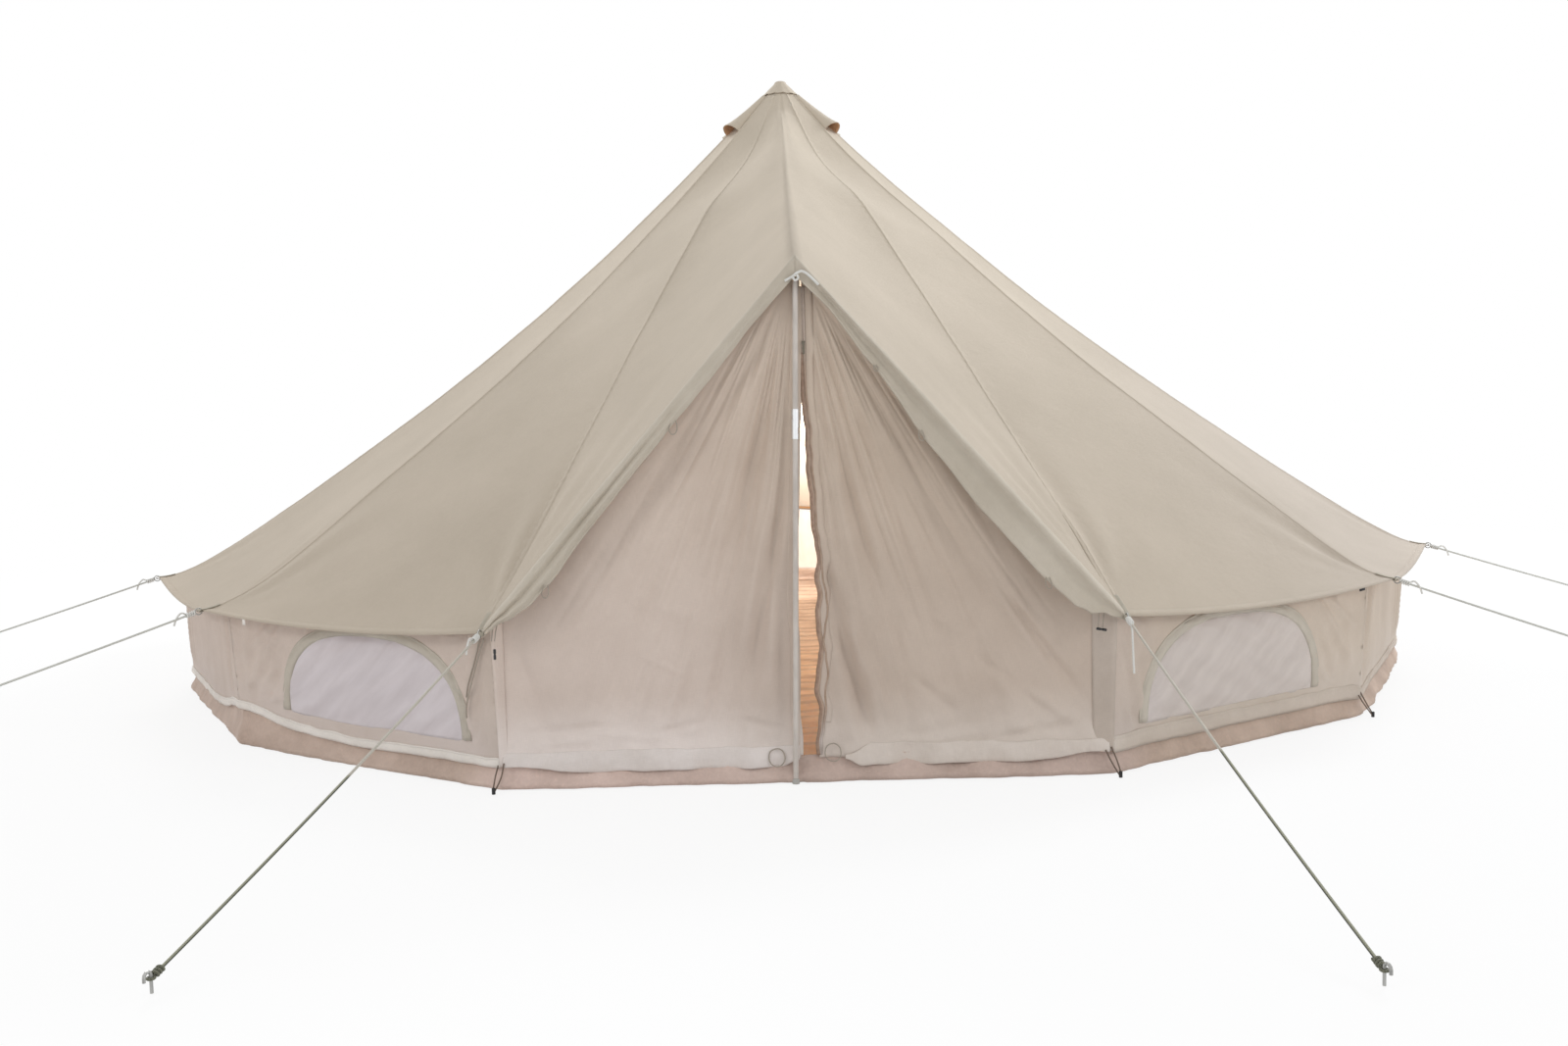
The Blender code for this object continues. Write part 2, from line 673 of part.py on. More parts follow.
# Zip slider on the right door, just under the point where the doors meet
def zip_slider():
    """A wedge-shaped body with its pull hanging from it."""
    mesh = bpy.data.meshes.new("zip_slider")
    body = bmesh.new()
    size = Matrix.Diagonal((SLIDER_WIDTH, SLIDER_DEPTH, SLIDER_HEIGHT, 1.0))
    bmesh.ops.create_cube(body, size=1.0, matrix=size)
    bottom = min(body.faces, key=lambda face: face.calc_center_median().z)
    bmesh.ops.scale(body, verts=bottom.verts, vec=(0.6, 0.5, 1.0))
    grown = bmesh.ops.extrude_face_region(body, geom=[bottom])
    tab = [item for item in grown["geom"] if isinstance(item, bmesh.types.BMVert)]
    bmesh.ops.delete(body, geom=[bottom], context="FACES_ONLY")
    bmesh.ops.translate(body, verts=tab, vec=(0.0, 0.0, -PULL_LENGTH))
    bmesh.ops.recalc_face_normals(body, faces=body.faces[:])
    body.to_mesh(mesh)
    body.free()
    piece = add_object("zip_slider", mesh, ZINC)
    piece.location = (SLIDER_X, DOOR_Y - CLOTH / 2 - CLEARANCE - SLIDER_DEPTH / 2, ZIP_MEETS)
    return piece


zip_slider()


# Centre pole: two steel tubes, a rubber foot and a domed tip with a spigot
def tube_profile(outer, inner, bottom, top):
    return [(outer, top), (outer, bottom), (inner, bottom), (inner, top)]


def center_pole():
    sheet_top = SHEET + CLEARANCE
    bore = CENTER_POLE_RADIUS - POLE_WALL
    floor = sheet_top + FOOT_HEIGHT / 3 + CLEARANCE
    spigot = bore - POLE_FIT
    neck = CENTER_POLE_JOINT + SPIGOT_LENGTH
    lower = [(spigot, neck), (spigot, CENTER_POLE_JOINT), (CENTER_POLE_RADIUS, CENTER_POLE_JOINT),
             (CENTER_POLE_RADIUS, floor), (spigot - POLE_WALL, floor), (spigot - POLE_WALL, neck)]
    turned("center_pole_lower", lower, STEEL, closed=True)
    upper = tube_profile(CENTER_POLE_RADIUS, bore, CENTER_POLE_JOINT + CLEARANCE, CENTER_POLE_TOP)
    turned("center_pole_upper", upper, STEEL, closed=True)
    cup = CENTER_POLE_RADIUS + POLE_FIT
    foot_top = sheet_top + FOOT_HEIGHT
    foot = [(cup, foot_top), (cup + FOOT_WALL, foot_top),
            (FOOT_FLANGE, sheet_top + FOOT_FLANGE_HEIGHT),
            (FOOT_FLANGE, sheet_top), (0.0, sheet_top), (0.0, floor - CLEARANCE),
            (cup, floor - CLEARANCE)]
    turned("center_pole_foot", foot, RUBBER, closed=True)
    seat = CENTER_POLE_TOP + CLEARANCE
    pin_top = APEX_HEIGHT - PIN_TOP_GAP
    tip = [(0.0, pin_top), (PIN_RADIUS * 0.8, pin_top - 0.004), (PIN_RADIUS, seat + 0.032),
           (TIP_RADIUS * 0.8, seat + 0.022), (TIP_RADIUS, seat + 0.010), (TIP_RADIUS, seat),
           (spigot, seat), (spigot, seat - TIP_PLUG), (0.0, seat - TIP_PLUG)]
    turned("center_pole_tip", tip, RUBBER)


center_pole()


# Door pole: a thin white pole in two lengths, joined by a bright sleeve
def door_pole():
    lean = math.atan2(DOOR_POLE_LEAN, DOOR_POLE_TOP)
    stand = bpy.data.objects.new("door_pole_stand", None)
    tent.objects.link(stand)
    placing = Matrix.Translation((-DOOR_POLE_LEAN, DOOR_POLE_Y, 0.0)) @ Matrix.Rotation(lean, 4, "Y")
    stand.matrix_world = placing
    bore = DOOR_POLE_RADIUS - POLE_WALL
    spigot = bore - POLE_FIT
    lower_end = DOOR_FOOT_HEIGHT + CLEARANCE
    lower = tube_profile(DOOR_POLE_RADIUS, bore, lower_end, DOOR_POLE_JOINT)
    upper = tube_profile(DOOR_POLE_RADIUS, bore, DOOR_POLE_JOINT + CLEARANCE, DOOR_POLE_TOP)
    sleeve_bottom = DOOR_POLE_JOINT - SLEEVE_LENGTH / 2
    sleeve = tube_profile(SLEEVE_RADIUS, DOOR_POLE_RADIUS + POLE_FIT, sleeve_bottom,
                          sleeve_bottom + SLEEVE_LENGTH)
    plug_top = DOOR_FOOT_HEIGHT + DOOR_FOOT_PLUG
    foot = [(0.0, plug_top), (spigot, plug_top), (spigot, DOOR_FOOT_HEIGHT),
            (DOOR_FOOT_RADIUS, DOOR_FOOT_HEIGHT - 0.002), (DOOR_FOOT_RADIUS, CLEARANCE),
            (0.0, CLEARANCE)]
    pieces = [
        turned("door_pole_lower", lower, WHITE_STEEL, closed=True, steps=16),
        turned("door_pole_upper", upper, WHITE_STEEL, closed=True, steps=16),
        turned("door_pole_sleeve", sleeve, STEEL, closed=True, steps=20),
        turned("door_pole_foot", foot, RUBBER, steps=16),
    ]
    for piece in pieces:
        piece.parent = stand
        piece.matrix_parent_inverse = Matrix()


door_pole()


# Guy ropes and the pegs that hold them
def peg_place(corner, reach, twist):
    return around(corner_azimuth(corner) + twist, reach)


def guy_rope(label, corner, reach, twist):
    eave = seam_point(corner, 1.0)
    ground = peg_place(corner, reach, twist)
    notch = ground + Vector((0.0, 0.0, PEG_NOTCH))
    line = notch - eave
    start = eave + line.normalized() * ROPE_START
    end = notch - line.normalized() * (PEG_RADIUS + ROPE_RADIUS + 3 * CLEARANCE)
    points = []
    for step in range(ROPE_POINT_COUNT):
        w = step / (ROPE_POINT_COUNT - 1)
        point = start.lerp(end, w)
        point.z -= ROPE_SAG * hollow(w)
        points.append(point)
    rope_tube(f"guy_rope_{label}", points, ROPE_RADIUS, ROPE)


def peg(label, corner, reach, twist):
    """The part of a round steel peg above the ground, its top bent away from the tent."""
    ground = peg_place(corner, reach, twist)
    away = around(corner_azimuth(corner) + twist, 1.0)
    up = Vector((0.0, 0.0, 1.0))
    shoulder = ground + up * (PEG_HEIGHT - PEG_BEND - PEG_RADIUS)
    points = [ground + up * PEG_GROUND_GAP, shoulder]
    for step in range(1, 6):
        angle = math.pi * step / 5
        out, rise = 1 - math.cos(angle), math.sin(angle)
        points.append(shoulder + (away * out + up * rise) * PEG_BEND)
    points.append(points[-1] - up * PEG_BEND)
    rope_tube(f"peg_{label}", points, PEG_RADIUS, PEG_STEEL)


for label, (corner, reach, twist) in GUY_CORNERS.items():
    guy_rope(label, corner, reach, twist)
    peg(label, corner, reach, twist)


# Toggles: black barrels that hang on short cords under the ends of the hem band
def toggle(name, place, rotation):
    end, groove = TOGGLE_LENGTH / 2, TOGGLE_WAIST
    half = [(0.0, end), (TOGGLE_RADIUS * 0.8, end - TOGGLE_EDGE),
            (TOGGLE_RADIUS, end - 4 * TOGGLE_EDGE), (TOGGLE_RADIUS, groove)]
    waist = [(TOGGLE_RADIUS * 0.7, 0.0)]
    profile = half + waist + [(radius, -height) for radius, height in reversed(half)]
    turned(name, profile, BLACK_PLASTIC, placing=Matrix.Translation(place) @ rotation, steps=12)


TOGGLE_Y = DOOR_CORNER.y + TOGGLE_BEHIND_CORNER
toggle("toggle_left", Vector((LEFT_TOGGLE_X, TOGGLE_Y, LEFT_TOGGLE_HEIGHT)), Matrix())
toggle("toggle_right", Vector((RIGHT_TOGGLE_X, TOGGLE_Y, RIGHT_TOGGLE_HEIGHT)),
       Matrix.Rotation(RIGHT_TOGGLE_TURN, 4, "Y"))
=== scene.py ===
"""Looks of a glamping bell tent, pitched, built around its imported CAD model."""

import math

import bmesh
import bpy
from mathutils import Matrix, Vector, geometry, noise


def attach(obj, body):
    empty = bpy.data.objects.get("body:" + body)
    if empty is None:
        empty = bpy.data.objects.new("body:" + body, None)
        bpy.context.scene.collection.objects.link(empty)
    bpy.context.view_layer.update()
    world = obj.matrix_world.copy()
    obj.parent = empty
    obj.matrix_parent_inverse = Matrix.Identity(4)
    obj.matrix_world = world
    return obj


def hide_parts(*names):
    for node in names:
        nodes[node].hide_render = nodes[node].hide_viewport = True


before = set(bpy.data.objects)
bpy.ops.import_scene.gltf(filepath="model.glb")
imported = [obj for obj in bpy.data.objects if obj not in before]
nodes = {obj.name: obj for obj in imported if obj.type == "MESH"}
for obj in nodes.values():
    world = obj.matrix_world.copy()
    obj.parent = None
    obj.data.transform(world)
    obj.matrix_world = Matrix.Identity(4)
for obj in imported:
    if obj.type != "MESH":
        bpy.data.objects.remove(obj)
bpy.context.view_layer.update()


# Camera: a little over four metres in front of the door and 1.2 m up, tipped slightly down. Its
# place, turn and lens are worked out from points of the photograph.
camera_data = bpy.data.cameras.new("camera")
camera_data.lens = 30.906
camera_data.sensor_width = 36.0
camera = bpy.data.objects.new("camera", camera_data)
bpy.context.scene.collection.objects.link(camera)
bpy.context.scene.camera = camera
camera_place = (-0.08243, -7.24655, 1.20019)
yaw, pitch, roll = 0.006015, -0.074586, -0.025499
ahead = Vector((math.sin(yaw) * math.cos(pitch), math.cos(yaw) * math.cos(pitch), math.sin(pitch)))
level = Vector((math.cos(yaw), -math.sin(yaw), 0.0))
rise = level.cross(ahead)
right = level * math.cos(roll) + rise * math.sin(roll)
up = rise * math.cos(roll) - level * math.sin(roll)
turn = Matrix((right, up, -ahead)).transposed().to_4x4()
camera.matrix_world = Matrix.Translation(camera_place) @ turn


# Light and floor: a soft sky all round, a broad lamp high behind each side, a weaker one in front
# on each side, and two inside that stand for the daylight that real canvas lets through. The floor
# is pale and keeps the shadow.
def white_for_camera(tree, lit, white, output):
    """Shows plain white in place of a lit surface or sky to the camera, to metal and to glass.

    Returns the socket that weakens the white.
    """
    path = tree.nodes.new("ShaderNodeLightPath")
    seen = path.outputs["Is Camera Ray"]
    for ray in ("Is Glossy Ray", "Is Transmission Ray"):
        either = tree.nodes.new("ShaderNodeMath")
        either.operation = "MAXIMUM"
        tree.links.new(seen, either.inputs[0])
        tree.links.new(path.outputs[ray], either.inputs[1])
        seen = either.outputs[0]
    share = tree.nodes.new("ShaderNodeMath")
    share.operation = "MULTIPLY"
    tree.links.new(seen, share.inputs[0])
    share.inputs[1].default_value = 1.0
    mix = tree.nodes.new("ShaderNodeMixShader")
    tree.links.new(share.outputs[0], mix.inputs["Fac"])
    tree.links.new(lit.outputs[0], mix.inputs[1])
    tree.links.new(white.outputs[0], mix.inputs[2])
    tree.links.new(mix.outputs[0], output.inputs["Surface"])
    return share.inputs[1]


world = bpy.data.worlds.new("studio")
world.use_nodes = True
sky = world.node_tree.nodes["Background"]
sky.inputs["Color"].default_value = (0.98, 0.99, 1.0, 1.0)
sky.inputs["Strength"].default_value = 0.70
white_sky = world.node_tree.nodes.new("ShaderNodeBackground")
white_sky.inputs["Color"].default_value = (1.0, 1.0, 1.0, 1.0)
white_for_camera(world.node_tree, sky, white_sky, world.node_tree.nodes["World Output"])
bpy.context.scene.world = world
bpy.context.scene.view_settings.view_transform = "Standard"

bpy.ops.object.select_all(action="DESELECT")
bpy.ops.mesh.primitive_plane_add(size=90.0, location=(0.0, 0.0, -0.002))
floor = bpy.context.object
floor.name = "floor"
floor_paint = bpy.data.materials.new("floor_paint")
floor_paint.use_nodes = True
floor_tree = floor_paint.node_tree
floor_shader = floor_tree.nodes["Principled BSDF"]
floor_shader.inputs["Base Color"].default_value = (0.86, 0.86, 0.86, 1.0)
floor_shader.inputs["Roughness"].default_value = 0.95
floor_shader.inputs["Specular IOR Level"].default_value = 0.1
floor_glow = floor_tree.nodes.new("ShaderNodeEmission")
floor_glow.inputs["Color"].default_value = (1.0, 1.0, 1.0, 1.0)
glow_share = white_for_camera(floor_tree, floor_shader, floor_glow, floor_tree.nodes["Material Output"])
floor_place = floor_tree.nodes.new("ShaderNodeTexCoord")
floor_reach = floor_tree.nodes.new("ShaderNodeVectorMath")
floor_reach.operation = "LENGTH"
floor_tree.links.new(floor_place.outputs["Object"], floor_reach.inputs[0])
floor_white = floor_tree.nodes.new("ShaderNodeMapRange")
for socket, value in (("From Min", 3.0), ("From Max", 9.0), ("To Min", 0.86), ("To Max", 1.0)):
    floor_white.inputs[socket].default_value = value
floor_tree.links.new(floor_reach.outputs["Value"], floor_white.inputs["Value"])
floor_tree.links.new(floor_white.outputs["Result"], glow_share)
floor.data.materials.append(floor_paint)


def soft_lamp(name, place, aim, size, watts, tint):
    data = bpy.data.lights.new(name, "AREA")
    data.shape = "DISK"
    data.size = size
    data.energy = watts
    data.color = tint
    lamp = bpy.data.objects.new(name, data)
    bpy.context.scene.collection.objects.link(lamp)
    lamp.location = place
    lamp.rotation_euler = (Vector(aim) - Vector(place)).to_track_quat("-Z", "Y").to_euler()
    lamp.visible_camera = False


soft_lamp("right", (7.3, 4.2, 7.0), (0.0, 0.0, 1.0), 4.0, 640.0, (0.92, 0.955, 1.0))
soft_lamp("left", (-4.8, 6.9, 7.0), (0.0, 0.0, 1.0), 4.0, 430.0, (1.0, 0.99, 0.98))
soft_lamp("front_right", (8.0, -7.0, 3.6), (0.0, -2.5, 0.8), 2.0, 100.0, (1.0, 0.985, 0.97))
soft_lamp("front_left", (-7.0, -8.0, 5.0), (0.0, -2.5, 0.8), 2.0, 95.0, (1.0, 0.985, 0.97))
soft_lamp("inside", (0.0, 1.2, 0.85), (0.0, 3.0, 1.9), 1.0, 88.0, (1.0, 0.98, 0.95))
soft_lamp("inside_floor", (0.0, -0.4, 1.7), (0.0, -0.4, 0.0), 1.2, 18.0, (1.0, 0.97, 0.93))


# Ground sheet: a tray of coated fabric with a floor in a warm tan, partly its own colour and partly
# painted warm light of daylight through the canvas, and a mauve brown rim.
# The rim is folded up and sewn behind the foot of the wall, and its fold lies slack on the ground.
PANELS = 12
DOOR_HALF_ANGLE = math.radians(19.83)
PANEL_ANGLE = (math.tau - 2 * DOOR_HALF_ANGLE) / PANELS
BASE_RADIUS = 3.0


def corner_azimuth(index):
    """Corner 0 is right of the door and corner 12 left of it; azimuth 0 is towards the door."""
    return DOOR_HALF_ANGLE + index * PANEL_ANGLE


def around(azimuth, radius, height=0.0):
    return Vector((radius * math.sin(azimuth), -radius * math.cos(azimuth), height))


def smooth(t):
    t = min(max(t, 0.0), 1.0)
    return t * t * (3 - 2 * t)


def blend_in(t, start, end):
    return smooth((t - start) / (end - start))


def ripple(x, y=0.0, z=0.0):
    """Gentle repeatable unevenness between about -1 and 1."""
    return noise.noise(Vector((x, y, z)))


def mesh_piece(name, points, faces, material, uv=None):
    """A named piece from points and faces, smooth shaded, with a texture place for each point."""
    mesh = bpy.data.meshes.new(name)
    mesh.from_pydata([tuple(point) for point in points], [], faces)
    if uv:
        layer = mesh.uv_layers.new(name="UVMap")
        for loop in mesh.loops:
            layer.data[loop.index].uv = uv[loop.vertex_index]
    mesh.materials.append(material)
    mesh.shade_smooth()
    piece = bpy.data.objects.new(name, mesh)
    bpy.context.scene.collection.objects.link(piece)
    return piece


def cloth_grid(name, columns, rows, place, material, cloth, around_it=False, flip=False):
    """Cloth over a grid: place(column, row) gives the point and its texture place in metres."""
    points, uv, faces = [], [], []
    for row in range(rows + 1):
        for column in range(columns + (0 if around_it else 1)):
            point, spot = place(column, row)
            points.append(point)
            uv.append(spot)
    width = columns if around_it else columns + 1
    for row in range(rows):
        for column in range(columns):
            a = row * width + column
            b = row * width + (column + 1) % width
            corner = (a, b, b + width, a + width)
            faces.append(corner[::-1] if flip else corner)
    piece = mesh_piece(name, points, faces, material, uv)
    if cloth:
        thicken(piece, cloth)
    return piece


def thicken(piece, thickness, offset=0.0):
    wall = piece.modifiers.new("thickness", "SOLIDIFY")
    wall.thickness = thickness
    wall.offset = offset
    wall.use_even_offset = False
    return wall


def finish(name, color, roughness, metallic=0.0):
    """A material and its shader, ready for the nodes that vary it."""
    material = bpy.data.materials.new(name)
    material.use_nodes = True
    shader = material.node_tree.nodes["Principled BSDF"]
    shader.inputs["Base Color"].default_value = (*color, 1.0)
    shader.inputs["Roughness"].default_value = roughness
    shader.inputs["Metallic"].default_value = metallic
    return material, material.node_tree, shader


def pattern_source(tree, kind, scale=(1.0, 1.0, 1.0), turn_z=0.0):
    """The Object or UV coordinates, scaled, for the pattern nodes of a material."""
    source = tree.nodes.new("ShaderNodeTexCoord")
    mapping = tree.nodes.new("ShaderNodeMapping")
    mapping.inputs["Scale"].default_value = scale
    mapping.inputs["Rotation"].default_value = (0.0, 0.0, turn_z)
    tree.links.new(source.outputs[kind], mapping.inputs["Vector"])
    return mapping.outputs["Vector"]


def mottling(tree, vector, scale, detail=3.0, roughness=0.55):
    spots = tree.nodes.new("ShaderNodeTexNoise")
    spots.inputs["Scale"].default_value = scale
    spots.inputs["Detail"].default_value = detail
    spots.inputs["Roughness"].default_value = roughness
    tree.links.new(vector, spots.inputs["Vector"])
    return spots.outputs["Fac"]


def between(tree, value, low, high, darkest, lightest):
    """Spreads a value from low..high over two colours."""
    ramp = tree.nodes.new("ShaderNodeValToRGB")
    ramp.color_ramp.elements[0].position = low
    ramp.color_ramp.elements[0].color = (*darkest, 1.0)
    ramp.color_ramp.elements[1].position = high
    ramp.color_ramp.elements[1].color = (*lightest, 1.0)
    tree.links.new(value, ramp.inputs["Fac"])
    return ramp.outputs["Color"]


def share_between(tree, value, low, high):
    """0 where a value is low and 1 where it is high, with smooth steps between."""
    share = tree.nodes.new("ShaderNodeMapRange")
    share.interpolation_type = "SMOOTHSTEP"
    share.inputs["From Min"].default_value = low
    share.inputs["From Max"].default_value = high
    tree.links.new(value, share.inputs["Value"])
    return share.outputs["Result"]


def along_axis(tree, axis):
    """How far along X, Y or Z a point of the piece lies, in metres."""
    parts = tree.nodes.new("ShaderNodeSeparateXYZ")
    tree.links.new(pattern_source(tree, "Object"), parts.inputs[0])
    return parts.outputs[axis]


def mixed(tree, share, first, second, mode="MIX"):
    mix = tree.nodes.new("ShaderNodeMix")
    mix.data_type = "RGBA"
    mix.blend_type = mode
    if isinstance(share, float):
        mix.inputs["Factor"].default_value = share
    else:
        tree.links.new(share, mix.inputs["Factor"])
    for socket, value in ((mix.inputs["A"], first), (mix.inputs["B"], second)):
        if isinstance(value, tuple):
            socket.default_value = (*value, 1.0)
        else:
            tree.links.new(value, socket)
    return mix.outputs["Result"]


def added(tree, first, second, weight):
    total = tree.nodes.new("ShaderNodeMath")
    total.operation = "MULTIPLY_ADD"
    tree.links.new(second, total.inputs[0])
    total.inputs[1].default_value = weight
    tree.links.new(first, total.inputs[2])
    return total.outputs[0]


def bumped(tree, shader, height, distance, strength=1.0):
    bump = tree.nodes.new("ShaderNodeBump")
    bump.inputs["Distance"].default_value = distance
    bump.inputs["Strength"].default_value = strength
    tree.links.new(height, bump.inputs["Height"])
    tree.links.new(bump.outputs["Normal"], shader.inputs["Normal"])


def threads(tree, vector, period, direction):
    """Parallel threads across X or Y, one every period metres."""
    wave = tree.nodes.new("ShaderNodeTexWave")
    wave.wave_type = "BANDS"
    wave.bands_direction = direction
    wave.inputs["Scale"].default_value = math.tau / (20.0 * period)
    wave.inputs["Distortion"].default_value = 0.6
    wave.inputs["Detail Scale"].default_value = 0.4
    tree.links.new(vector, wave.inputs["Vector"])
    return wave.outputs["Fac"]


def faded(tree, color, fades):
    """Tints a colour, mostly with painted light and shade: each fade is an axis, its ends in metres, and a
    tint at each.
    """
    for axis, low, high, low_tint, high_tint in fades:
        tint = mixed(tree, share_between(tree, along_axis(tree, axis), low, high), low_tint, high_tint)
        color = mixed(tree, 1.0, color, tint, "MULTIPLY")
    return color


def coated_fabric(name, dark, light, crease_scale, crease_depth, furrows=0.0, fades=()):
    """Coated ground sheet fabric: a faint weave under a half matt skin, with scuffs and creases.

    On the ground its furrows have painted shade in their valleys, and painted light warms it by the door,
    cools it behind.
    """
    material, tree, shader = finish(name, light, 0.62)
    metres = pattern_source(tree, "Object")
    patches = mottling(tree, metres, 5.0, 5.0, 0.6)
    color = between(tree, patches, 0.3, 0.7, dark, light)
    specks = mottling(tree, metres, 90.0, 2.0)
    dust = between(tree, specks, 0.45, 0.8, (0.0, 0.0, 0.0), (0.25, 0.25, 0.25))
    color = mixed(tree, dust, color, tuple(min(1.0, c * 1.25) for c in light))
    creases = mottling(tree, metres, crease_scale, 4.0, 0.5)
    if furrows:
        waves = tree.nodes.new("ShaderNodeTexWave")
        waves.bands_direction = "Y"
        waves.inputs["Scale"].default_value = math.tau / (20.0 * furrows)
        waves.inputs["Distortion"].default_value = 6.0
        waves.inputs["Detail"].default_value = 3.0
        waves.inputs["Detail Scale"].default_value = 1.6
        tree.links.new(pattern_source(tree, "Object", (0.45, 1.0, 1.0)), waves.inputs["Vector"])
        # Painted shade: the valleys of the furrows are darkened.
        painted_furrow_shade = between(tree, waves.outputs["Fac"], 0.5, 0.95, (0.0, 0.0, 0.0), (0.62, 0.62, 0.62))
        color = mixed(tree, painted_furrow_shade, color, tuple(0.66 * c for c in dark))
        # Painted light: the floor is tinted warmer and deeper towards the door and cooler towards the back.
        painted_light_tint = mixed(tree, share_between(tree, along_axis(tree, "Y"), -2.6, 1.8),
                        (1.25, 1.0, 0.60), (0.74, 0.85, 1.12))
        color = mixed(tree, 1.0, color, painted_light_tint, "MULTIPLY")
        creases = added(tree, creases, waves.outputs["Fac"], -0.5)
    tree.links.new(faded(tree, color, fades), shader.inputs["Base Color"])
    weave = threads(tree, metres, 0.0022, "DIAGONAL")
    bumped(tree, shader, added(tree, creases, weave, 0.02), crease_depth, 0.8)
    wear = between(tree, specks, 0.3, 0.7, (0.5, 0.5, 0.5), (0.75, 0.75, 0.75))
    tree.links.new(wear, shader.inputs["Roughness"])
    return material


# The floor's warm tan is partly its own colour and partly painted light: the warm glow of daylight through
# the canvas.
FLOOR_FABRIC = coated_fabric("floor_fabric", (0.44, 0.25, 0.13), (0.66, 0.42, 0.25), 12.0, 0.005,
                             furrows=0.15)
# Painted light and shade: the rim is lighter on the left front, back to its own tone further left, and
# darker and yellower on the right.
RIM_FABRIC = coated_fabric("rim_fabric", (0.47, 0.35, 0.295), (0.66, 0.515, 0.45), 11.0, 0.022,
                           fades=(("X", -1.2, -0.98, (0.81, 0.807, 0.757), (1.0, 1.0, 1.0)),
                                  ("X", -0.75, 0.0, (1.22, 1.22, 1.24), (1.0, 1.0, 1.0)),
                                  ("X", 1.0, 1.25, (1.0, 1.0, 1.0), (0.95, 0.94, 0.87))))


def base_radius(azimuth):
    """Distance to the side of the thirteen-sided plan in a direction."""
    azimuth = azimuth % math.tau
    if azimuth < DOOR_HALF_ANGLE or azimuth > math.tau - DOOR_HALF_ANGLE:
        from_middle = azimuth if azimuth < math.pi else math.tau - azimuth
        return BASE_RADIUS * math.cos(DOOR_HALF_ANGLE) / math.cos(from_middle)
    from_corner = (azimuth - DOOR_HALF_ANGLE) % PANEL_ANGLE
    return BASE_RADIUS * math.cos(PANEL_ANGLE / 2) / math.cos(from_corner - PANEL_ANGLE / 2)


def near_corner(azimuth):
    """1 at a corner of the plan and 0 from some 20 cm beside it."""
    steps = (azimuth - DOOR_HALF_ANGLE) / PANEL_ANGLE
    away = abs(steps - round(steps)) * PANEL_ANGLE * BASE_RADIUS
    if min(abs(azimuth), abs(math.tau - azimuth)) < DOOR_HALF_ANGLE * 0.97:
        away = min(abs(abs(azimuth) - DOOR_HALF_ANGLE),
                   abs(math.tau - azimuth - DOOR_HALF_ANGLE)) * BASE_RADIUS
    return 1.0 - blend_in(away, 0.0, 0.2)


def foot_lift(azimuth):
    """How far the slack wall pulls the rim up: most at the corner behind the left front window."""
    corner = math.tau - DOOR_HALF_ANGLE - PANEL_ANGLE
    away = (azimuth % math.tau - corner) * BASE_RADIUS
    width = 0.34 if away < 0 else 0.27
    lifted = 0.072 * math.exp(-(away / width) ** 2)
    return lifted + 0.006 * (1 + ripple(azimuth * 5.0, 7.0)) * (1 - near_corner(azimuth))


RIM_STEPS, RIM_HEIGHT, RIM_THICKNESS = 1500, 0.085, 0.0012
RIM_PROFILE = (      # outward slack, height, and how strongly the slack edge wanders there
    (-0.030, 0.0007, 0.0), (-0.014, 0.0010, 0.3), (0.002, 0.0022, 0.8), (0.010, 0.008, 1.0),
    (0.010, 0.018, 0.9), (0.005, 0.032, 0.6), (0.000, 0.046, 0.35), (-0.004, 0.060, 0.15),
    (-0.0052, 0.072, 0.0), (-0.0052, RIM_HEIGHT, 0.0),
)


def rim_point(step, row):
    azimuth = math.tau * step / RIM_STEPS
    slack, height, loose = RIM_PROFILE[row]
    run = azimuth * BASE_RADIUS
    corner = near_corner(azimuth)
    wander = 0.014 * (1 + ripple(run * 1.1, 3.7)) + 0.012 * ripple(run * 2.7, 8.2)
    wander += 0.004 * ripple(run * 8.0, 1.3) * (1 - corner)
    lean = run * 7.0 + height * 70.0 * ripple(run * 0.8, 2.0)
    crease = 0.012 * max(0.0, ripple(lean, 5.0)) - 0.009 * max(0.0, ripple(lean * 1.7, 9.0)) ** 0.7
    crease += 0.0060 * (0.35 - abs(ripple(lean * 1.3 + 40.0, 3.0))) + 0.0030 * ripple(lean * 3.5, 6.0)
    out = slack + loose * (wander * (1 - 0.6 * corner)) + crease * min(loose * 1.8, 1.0)
    raised = 1 + foot_lift(azimuth) / RIM_HEIGHT
    lift = height * raised + loose * 0.004 * (1 + ripple(run * 4.0, 6.1)) * min(height / 0.01, 1.0)
    point = around(azimuth, base_radius(azimuth) + out, min(lift, RIM_HEIGHT * raised))
    return point, (run, row * 0.012)


rim = cloth_grid("ground_sheet_rim", RIM_STEPS, len(RIM_PROFILE) - 1, rim_point, FLOOR_FABRIC,
                 RIM_THICKNESS, around_it=True, flip=True)
rim.data.materials.append(RIM_FABRIC)
rim.modifiers[0].material_offset = 1
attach(rim, "tent")

FLOOR_SECTORS, FLOOR_RINGS = 208, 150
FLOOR_THICKNESS, FLOOR_INSET = 0.0010, 0.028


def floor_point(sector, ring):
    azimuth = math.tau * sector / FLOOR_SECTORS
    share = 0.004 + 0.996 * ring / FLOOR_RINGS
    radius = (base_radius(azimuth) - FLOOR_INSET) * share
    place = around(azimuth, radius)
    waves = ripple(place.x * 1.4, place.y * 5.5, 2.0) + 0.7 * ripple(place.x * 2.4, place.y * 11.0, 9.0)
    at_pole = blend_in(radius, 0.05, 0.25) * (1 - blend_in(share, 0.96, 1.0))
    place.z = 0.0014 + 0.0085 * max(0.0, 0.35 + waves) * at_pole
    return place, (place.x, place.y)


floor_sheet = cloth_grid("ground_sheet_floor", FLOOR_SECTORS, FLOOR_RINGS, floor_point, FLOOR_FABRIC,
                         FLOOR_THICKNESS, around_it=True, flip=True)
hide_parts("groundsheet")
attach(floor_sheet, "tent")


